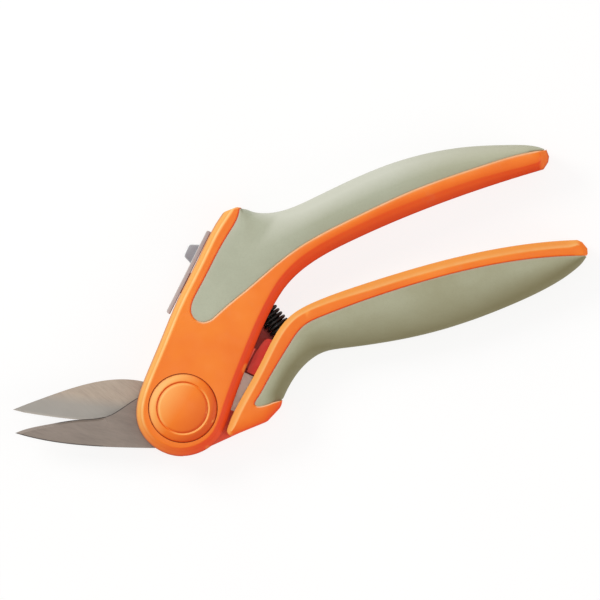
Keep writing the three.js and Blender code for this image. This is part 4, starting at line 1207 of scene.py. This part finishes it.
# ------------------------------------------------------------------ materials
def plastic(name, base, deep, light, rough=0.42, dust=(190, 160, 140), sun=None,
            sun_at=(0.03, 0.52), shade=None, shade_at=(-0.5, -0.03), crevice=None):
    """Moulded plastic with painted light: sun, shade and crevice are (r, g, b, strength) of a
    painted highlight on faces turned to the key light, painted shade on faces turned from it, and
    painted shade in crevices; sun_at and shade_at are where they set in."""
    n = Shader(name)
    place = n.where()
    cloud = n.noise(place, 38.0, detail=3.0)
    fine = n.noise(place, 2600.0, detail=2.0, rough=0.6)
    grain = n.noise(place, 900.0, detail=3.0, rough=0.6)
    c = n.ramp(cloud, (0.3, rgb(*deep)), (0.5, rgb(*base)), (0.72, rgb(*light)))
    c = n.mix(n.grey(grain, (0.35, 0.0), (0.8, 0.10)), c, rgb(*light))
    if sun:
        c = n.mix(n.times(n.to_key(*sun_at), sun[3], n.lying_flat()), c, rgb(*sun[:3]))
    if shade:
        away = n.times(n.inverse(n.to_key(*shade_at)), shade[3], n.inverse(n.attribute("end")),
                       n.lying_flat())
        c = n.mix(away, c, rgb(*shade[:3]))
    # painted highlight on sharp edges
    c = n.mix(n.times(n.edges(), 0.5), c, lighter(light, 40))
    if sun:
        # painted highlights on the ridges and lips, painted shade at the foot of the chamfer
        painted_ridge_highlight = n.times(n.attribute("ridge"), n.to_key(-0.05, 0.3),
                       n.grey(n.noise(place, 160.0, detail=3.0), (0.3, 0.4), (0.6, 0.8)))
        c = n.mix(painted_ridge_highlight, c, rgb(255, 214, 150))
        rim = n.times(n.attribute("lip"), n.to_key(0.0, 0.16),
                      n.grey(n.noise(place, 120.0, detail=3.0), (0.3, 0.35), (0.6, 0.65)))
        c = n.mix(rim, c, rgb(242, 208, 178))
        c = n.mix(n.times(n.attribute("foot"), 0.7), c, rgb(176, 44, 24))
    if crevice:
        # painted shade: deep red in crevices, not on faces turned down
        up = n.axes(n.geometry("Normal"))[2]
        painted_crevice_shade = n.times(n.hollows(0.007, 0.15, 0.75), n.grey(up, (0.0, 0.35), (0.3, 1.0)),
                          n.grey(n.add(up, 1.0), (0.5, 0.0), (0.95, 1.0)), crevice[3])
        c = n.mix(painted_crevice_shade, c, rgb(*crevice[:3]))
    # painted shade in tight hollows
    c = n.mix(n.times(n.hollows(), 0.25), c, darker(deep, 0.62))
    scuff = n.noise(n.where(turn=0.6), 140.0, detail=6.0, rough=0.7)
    c = n.mix(n.times(n.grey(scuff, (0.60, 0.0), (0.78, 1.0)), 0.07), c, rgb(*dust))
    roughness = n.grey(n.noise(place, 210.0), (0.25, rough - 0.06), (0.75, rough + 0.09))
    height = n.add(n.times(fine, 0.6), n.times(grain, 0.4))
    return n.finish(Base_Color=c, Roughness=roughness, Specular_IOR_Level=0.3,
                    Normal=n.bump(height, strength=0.14, distance=0.00008),
                    Coat_Weight=0.03, Coat_Roughness=0.35)


def rubber(name, base, deep, light, sun, shade, far_tint):
    """Soft grip with painted light: sun is a painted highlight on faces turned to the key light,
    shade painted shade on faces turned from it; far_tint comes in with the "far" attribute,
    which also weakens the painted highlight.
    """
    n = Shader(name)
    place = n.where()
    cloud = n.noise(place, 30.0, rough=0.6)
    fine = n.noise(place, 3400.0, detail=2.0, rough=0.7)
    speck = n.noise(place, 1300.0, detail=3.0, rough=0.7)
    c = n.ramp(cloud, (0.28, rgb(*deep)), (0.52, rgb(*base)), (0.75, rgb(*light)))
    c = n.mix(n.grey(speck, (0.45, 0.0), (0.75, 0.16)), c, darker(deep, 0.86))
    far = n.attribute("far")
    sun_strength = n.math("SUBTRACT", 0.78, n.times(far, 0.5))
    c = n.mix(n.times(n.to_key(0.03, 0.42), sun_strength), c, rgb(*sun))
    c = n.mix(n.times(far, 0.4), c, rgb(*far_tint))
    c = n.mix(n.times(n.inverse(n.to_key(-0.42, -0.01)), 0.9), c, rgb(*shade))
    # painted highlight on sharp edges
    c = n.mix(n.times(n.edges(), 0.22), c, lighter(light, 16))
    # painted shade in tight hollows
    c = n.mix(n.times(n.hollows(), 0.2), c, darker(deep, 0.6))
    # painted highlight along the lip at the seam
    c = n.mix(n.times(n.attribute("lip"), 0.55), c, rgb(214, 192, 168))
    rub = n.noise(n.where((1, 2.5, 1), -0.6), 26.0, detail=5.0, rough=0.65)
    c = n.mix(n.times(n.grey(rub, (0.45, 0.0), (0.8, 1.0)), 0.10), c, lighter(light, 12))
    roughness = n.grey(n.noise(place, 120.0), (0.25, 0.60), (0.75, 0.78))
    height = n.add(n.times(fine, 0.55), n.times(speck, 0.45))
    return n.finish(Base_Color=c, Roughness=roughness, Specular_IOR_Level=0.3,
                    Normal=n.bump(height, strength=0.3, distance=0.00012))


def edge_band(n):
    """A band along the moving blade's cutting edge: 0.8 at the edge, fading out above it."""
    x, y, _ = n.axes(n.node("TexCoord").outputs["Object"])
    # the edge slopes by 0.115 and passes 7.4 mm below the pivot
    above = n.add(n.add(y, n.times(x, 0.115)), 0.0074)
    waver = n.noise(n.where((0.2, 1, 1)), 90.0, detail=3.0)
    above = n.add(above, n.times(n.math("SUBTRACT", waver, 0.5), 0.0016))
    return n.grey(n.times(above, 100.0), (0.0, 0.8), (0.40, 0.7), (0.78, 0.0))


def steel(name, base, light, deep, angle, band=None, rough=0.42, metal=0.35, spread=0.5):
    """Ground steel with fine streaks along `angle`; a wider spread gives less contrast."""
    n = Shader(name)
    along = n.where(turn=angle)
    streak = n.noise(n.mapping(along, (0.10, 1.0, 1.0)), 2300.0, rough=0.7)
    wide = n.noise(n.mapping(along, (0.22, 1.0, 1.0)), 420.0, detail=5.0, rough=0.65,
                   distort=0.2)
    cloud = n.noise(n.where(), 60.0, rough=0.6)
    c = n.ramp(n.add(n.times(streak, 0.5), n.times(wide, 0.5)), (0.5 - 0.3 * spread, rgb(*deep)),
               (0.5, rgb(*base)), (0.5 + 0.32 * spread, rgb(*light)))
    c = n.mix(n.grey(cloud, (0.35, 0.0), (0.75, 0.4)), c, rgb(*light))
    if band:
        c = n.mix(band(n), c, rgb(150, 148, 143))
    # painted light: the tang, deep in the gap, is lightened
    c = n.mix(n.attribute("tang"), c, rgb(232, 206, 188))
    c = n.mix(n.attribute("ground"), c, lighter(light, 22))
    # painted shade: dark lines along the blade edges
    c = n.mix(n.attribute("dark"), c, rgb(46, 41, 38))
    # painted highlight on sharp edges
    c = n.mix(n.times(n.edges(0.64), 0.4), c, lighter(light, 45))
    spot = n.noise(n.where(), 900.0, detail=3.0, rough=0.7)
    c = n.mix(n.times(n.grey(spot, (0.68, 0.0), (0.76, 1.0)), 0.18), c, darker(deep, 0.7))
    roughness = n.grey(streak, (0.3, rough - 0.07), (0.7, rough + 0.12))
    return n.finish(Base_Color=c, Metallic=metal, Roughness=roughness, Specular_IOR_Level=0.5,
                    Normal=n.bump(streak, strength=0.10, distance=0.00004))


orange = plastic(
    "orange_plastic", base=(242, 122, 25), deep=(237, 113, 19), light=(246, 133, 34),
    sun=(247, 182, 92, 0.85), sun_at=(0.03, 0.5), shade=(238, 60, 12, 0.85),
    shade_at=(-0.44, 0.0), crevice=(205, 44, 22, 0.8))
orange_cap = plastic(
    "orange_plastic_cap", base=(243, 124, 26), deep=(238, 114, 20), light=(247, 134, 36),
    sun=(254, 192, 108, 0.85), sun_at=(0.0, 0.22), shade=(216, 76, 14, 0.85),
    shade_at=(-0.22, 0.0), crevice=(205, 44, 22, 0.5))
# copies of the orange plastic for parts deep in the gap by the pivot: their red is painted shade,
# the tongue's copy kept brighter
orange_shaded = plastic("orange_plastic_painted_shade", base=(212, 48, 28), deep=(198, 40, 24),
                     light=(222, 60, 36), rough=0.45)
orange_tongue_shaded = plastic("orange_plastic_tongue_painted_shade", base=(252, 88, 58), deep=(246, 76, 46),
                        light=(255, 102, 70), rough=0.45)
soft = rubber(
    "soft_grip", base=(174, 177, 155), deep=(167, 169, 145), light=(184, 187, 165),
    sun=(212, 213, 199), shade=(140, 134, 104), far_tint=(188, 183, 150))
soft_low = rubber(
    "soft_grip_low", base=(168, 167, 140), deep=(158, 155, 125), light=(178, 178, 151),
    sun=(200, 200, 182), shade=(128, 120, 84), far_tint=(140, 134, 100))
blade_upper = steel("blade_steel_upper", base=(172, 156, 140), light=(185, 169, 153),
                    deep=(155, 140, 126), angle=0.65, band=edge_band)
blade_lower = steel("blade_steel_lower", base=(135, 123, 113), light=(149, 135, 125),
                    deep=(120, 108, 100), angle=0.3, rough=0.46, metal=0.3, spread=0.625)
bright = steel("hardware_steel", base=(150, 148, 146), light=(190, 188, 186),
               deep=(104, 102, 100), angle=0.2, rough=0.3, metal=0.9)
black = plastic("spring_black", base=(16, 14, 12), deep=(10, 9, 8), light=(28, 25, 22),
                rough=0.4, dust=(44, 40, 37))
grey = plastic(
    "slider_plastic", base=(154, 152, 156), deep=(145, 143, 148), light=(166, 164, 167),
    rough=0.4, dust=(200, 196, 192), sun=(248, 250, 250, 0.95), sun_at=(0.06, 0.4),
    shade=(112, 104, 112, 0.6), shade_at=(-0.4, 0.0))
# a lighter copy of the slider plastic for its shoe plate: painted light
grey_plate_lit = plastic(
    "slider_plastic_plate_lit", base=(186, 176, 172), deep=(176, 166, 163), light=(196, 187, 183),
    rough=0.4, dust=(200, 196, 192), sun=(226, 222, 220, 0.8), sun_at=(0.1, 0.5),
    shade=(130, 116, 122, 0.7), shade_at=(-0.4, 0.0))


# ------------------------------------------------------------------ pieces on their bodies
def mount(o, body, material, replaced, angle=32):
    tidy(o)
    shade_smooth(o, angle)
    o.data.materials.clear()
    o.data.materials.append(material)
    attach(o, body)
    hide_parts(replaced)


def vertices(o):
    """Points of a mesh in mm, and how far each is from the shear plane."""
    co = np.empty(len(o.data.vertices) * 3)
    o.data.vertices.foreach_get("co", co)
    p = co.reshape(-1, 3) / MM
    return p, p[:, :2], np.abs(p[:, 2] - MID)


def paint(o, **values):
    """Point attributes that the materials read: where painted highlights and painted shade go, and
    the ground bevels.
    """
    for name, value in values.items():
        attribute = o.data.attributes.new(name, "FLOAT", "POINT")
        attribute.data.foreach_set("value", np.asarray(value, np.float32))


def bell(x, centre, width):
    return np.exp(-((x - centre) / width) ** 2)


def paint_cover(o):
    p, flat, out = vertices(o)
    edge, width = outer.near(flat)
    share = edge / width
    seam = grip_side.away(flat)
    round_pivot = np.clip((p[:, 1] + 12) / 14, 0.15, 1)
    # painted highlights: ridge along the chamfer's creases, lip along the grip seam; end weakens
    # the painted shade at the handle's end
    ridge = np.maximum(bell(share, 0.78, 0.1), bell(share, 0.06, 0.07) * 0.6)
    lip = np.maximum((seam < 0.45) * 0.9, np.clip(1 - seam / 1.9, 0, 1) * 0.55)
    at_end = np.clip((p[:, 0] - 133.6) / 0.8, 0, 1)
    along_handle = np.clip((p[:, 0] - 36) / 22, 0, 1) * (1 - at_end)
    # painted shade: deeper red at the foot of the chamfer, and on the handle's lower chamfer and
    # strip
    handle_painted_shade = along_handle * (np.clip((0.75 - share) / 0.75, 0, 1) * 0.5
                                  + np.clip((seam - 2.2) / 2.0, 0, 1) * 0.12)
    body_painted_shade = np.maximum(bell(edge, 0.0, 0.3), bell(share, 0.6, 0.05) * 0.22)
    paint(o, ridge=round_pivot * np.where(out > HALF - 3.4, ridge, 0),
          lip=np.where(out > HALF - 1.2, lip, 0.0),
          end=at_end * 0.72,
          foot=np.where(out > 3, np.maximum(body_painted_shade, handle_painted_shade), 0))


def paint_upper_pad(o):
    p, flat, out = vertices(o)
    seam = grip_side.away(flat)
    # far weakens the painted highlight further along the handle and tints towards far_tint; lip is
    # a painted highlight at the seam
    paint(o, far=np.clip((p[:, 0] - 78) / 50, 0, 1),
          lip=np.where((seam < 0.3) & (out > 7), 1.0, 0.0))


def paint_lower_body(o):
    p, flat, out = vertices(o)
    top = out > HALF - 1.2
    edge, width = low_outer.near(flat)
    share = edge / width
    # painted highlights on the chamfer's creases and at the grip seam; end weakens the painted
    # shade at the handle's end
    ridge = np.maximum(bell(share, 0.9, 0.08) * 0.5, bell(share, 0.3, 0.12) * 0.3)
    paint(o, ridge=np.where(top, ridge, 0),
          end=np.clip((p[:, 0] - 146.3) / 0.8, 0, 1) * 0.8,
          lip=np.where(top & (low_side.away(flat) < 0.45), 0.8, 0.0),
          foot=np.zeros(len(p)))


def colour_plates(o):
    """The plates by the pivot take the orange's painted-shade copy, and low on the body the
    tongue's painted-shade copy.
    """
    o.data.materials.append(orange_shaded)
    o.data.materials.append(orange_tongue_shaded)
    inside_pad = within(low_pad_rim)
    for face in o.data.polygons:
        c = np.array(face.center) / MM
        flat = c[None, :2]
        if c[2] < 17.8 and not inside_low(flat)[0] and not inside_pad(flat)[0]:
            face.material_index = 2 if up_body(c) < 13 else 1


def paint_fixed_blade(o):
    p, flat, _ = vertices(o)
    edge, spine = Course(fixed_top).away(flat), Course(fixed_bottom).away(flat)
    x = p[:, 0]
    tip = np.clip((-46 - x) / 3, 0, 1)
    # painted shade: dark lines along the spine, and along the top edge where the blades meet
    dark_spine = (np.where((spine < 0.3) & (x < -30), 0.8, 0)
                  + np.where((spine < 0.1) & (x >= -30), 0.5, 0))
    paint(o, ground=tip * (edge < 1.02) * 0.4 * (p[:, 2] > MID),
          dark=np.maximum((1 - tip) * (edge < 0.2), dark_spine))


def paint_moving_blade(o):
    p, flat, _ = vertices(o)
    edge, spine = edge_line.away(flat), Course(moving_top).away(flat)
    z = p[:, 2]
    # painted shade along the spine, and painted light on the tang deep in the gap
    paint(o, ground=np.where(z < 10, np.where(edge < 1.75, 0.5, 0), 0),
          dark=np.where(spine < 0.05, 0.35, 0) * (z > 9.5),
          tang=np.where((across_body(p) > 9) & (p[:, 0] > 4), 1.0, 0.0))


def paint_lower_pad(o):
    p, flat, out = vertices(o)
    edge, seam = low_sky.away(flat), low_side.away(flat)
    across = edge / np.maximum(edge + seam, 1e-6)
    along = np.clip(0.25 + (p[:, 0] - 60) / 120, 0, 1)
    # far is painted shade, darker and yellower towards the outer edge; lip is a painted highlight
    # at the seam
    paint(o, far=along * np.clip((0.62 - across) / 0.5, 0, 1) * 1.5 * (p[:, 0] > 30),
          lip=np.where((seam < 0.3) & (out > 7), 0.8, 0.0))


mount(front_cover, "body", orange, "front_cover")
mount(rear_cover, "body", orange, "rear_cover")
paint_cover(front_cover)
paint_cover(rear_cover)
mount(front_pad, "body", soft, "upper_grip_front", 40)
mount(rear_pad, "body", soft, "upper_grip_rear", 40)
paint_upper_pad(front_pad)
paint_upper_pad(rear_pad)
mount(front_cap, "body", orange_cap, "pivot_cap_front", 40)
mount(rear_cap, "body", orange_cap, "pivot_cap_rear", 40)
mount(fixed_blade, "body", blade_lower, "fixed_blade", 20)
mount(moving_blade, "lower_handle", blade_upper, "moving_blade", 20)
mount(lower_body, "lower_handle", orange, "lower_handle_core")
paint_lower_body(lower_body)
colour_plates(lower_body)
paint_fixed_blade(fixed_blade)
paint_moving_blade(moving_blade)
mount(lower_pad, "lower_handle", soft_low, "lower_grip", 40)
paint_lower_pad(lower_pad)
mount(slider, "lock", grey, "lock_slider", 30)
slider.data.materials.append(grey_plate_lit)
for face in slider.data.polygons:    # all but the thumb piece take the lighter copy, painted light
    if across_body(np.array(face.center) / MM) > -21.9:
        face.material_index = 1
for i, o in enumerate(screws):
    mount(o, "body", bright, "cover_screw_%d" % (i + 1), 30)
mount(spring, "body", black, "return_spring", 60)
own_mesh(spring)

# CAD pieces kept as they are, with their edges broken
for name in ("pivot_bolt", "pivot_nut", "pivot_washer_front", "pivot_washer_rear",
             "blade_dowel_lower", "blade_dowel_upper", "tang_pin_1", "tang_pin_2", "lock_bar",
             "lock_bar_rivet", "lock_detent_spring"):
    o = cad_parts[name]
    o.data.materials.clear()
    o.data.materials.append(bright)
    shade_smooth(o, 30)
    m = o.modifiers.new("edge", "BEVEL")
    m.width, m.segments = 0.00008, 2
    m.limit_method, m.angle_limit = "ANGLE", math.radians(40)


# ------------------------------------------------------------------ floor, light, camera
def floor_material():
    n = Shader("floor")
    c = n.ramp(n.noise(n.where(), 6.0, detail=2.0),
               (0.3, (0.165, 0.165, 0.165, 1)), (0.7, (0.18, 0.18, 0.18, 1)))
    material = n.finish(Base_Color=c, Roughness=0.9, Specular_IOR_Level=0.1,
                        Emission_Color=(1.0, 0.995, 0.99, 1), Emission_Strength=0.83)
    # clear when seen from below
    either = n.node("MixShader")
    n.put(either.inputs[0], n.geometry("Backfacing"))
    n.put(either.inputs[1], n.surface.outputs[0])
    n.put(either.inputs[2], n.node("BsdfTransparent").outputs[0])
    n.put(n.output.inputs[0], either.outputs[0])
    return material


def floor():
    bm = bmesh.new()
    bmesh.ops.create_grid(bm, x_segments=24, y_segments=24, size=1.6)
    mesh = bpy.data.meshes.new("floor")
    bm.to_mesh(mesh)
    bm.free()
    o = bpy.data.objects.new("floor", mesh)
    o.location = (0.044, 0.04, -0.0002)
    SCENE.collection.objects.link(o)
    o.data.materials.append(floor_material())
    o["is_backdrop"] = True


CENTRE = Vector((0.0439, 0.0405, 0.01))      # what the lamps point at
LAMP_DISTANCE = 1.1


def lamp(name, offset, size, power, colour):
    """A disk lamp at an offset from CENTRE, aimed at it."""
    light = bpy.data.lights.new(name, "AREA")
    light.shape, light.size, light.energy, light.color = "DISK", size, power, colour
    o = bpy.data.objects.new(name, light)
    o.location = CENTRE + offset
    o.rotation_euler = (-offset).to_track_quat("-Z", "Y").to_euler()
    SCENE.collection.objects.link(o)
    o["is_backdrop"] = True


floor()
lamp("key", KEY * LAMP_DISTANCE, size=0.5, power=4.6, colour=(1.0, 0.985, 0.965))
lamp("overhead", Vector((0.02, 0.03, 1.29)), size=0.2, power=1.3, colour=(1.0, 1.0, 1.0))
lamp("fill", Vector((0.80, -0.2, 0.5)).normalized() * LAMP_DISTANCE, size=0.6, power=2.0,
     colour=(1.0, 0.99, 0.98))

world = bpy.data.worlds.new("studio")
SCENE.world = world
world.use_nodes = True
background = world.node_tree.nodes["Background"]
background.inputs[0].default_value = (1, 1, 1, 1)
background.inputs[1].default_value = 0.6

SCENE.view_settings.view_transform = "Standard"
SCENE.view_settings.look = "None"

LENS, SENSOR = 700, 36
VIEW_WIDTH = 0.225                   # width seen at z = 0.016, which sets the camera's height
cam = bpy.data.cameras.new("camera")
cam.lens, cam.sensor_width, cam.clip_end = LENS, SENSOR, 40
camera = bpy.data.objects.new("camera", cam)
camera.location = (0.043875, 0.0405, 0.016 + VIEW_WIDTH * LENS / SENSOR)
SCENE.collection.objects.link(camera)
SCENE.camera = camera


def numbers(box):
    """The bounds as plain lists, whether they come as corners or as single values."""
    if hasattr(box[0], "__len__"):
        return [[float(c) for c in p] for p in box]
    return [float(c) for c in box]


bpy.context.view_layer.update()
{"cad": numbers(cad_box), "visual": numbers(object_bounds())}
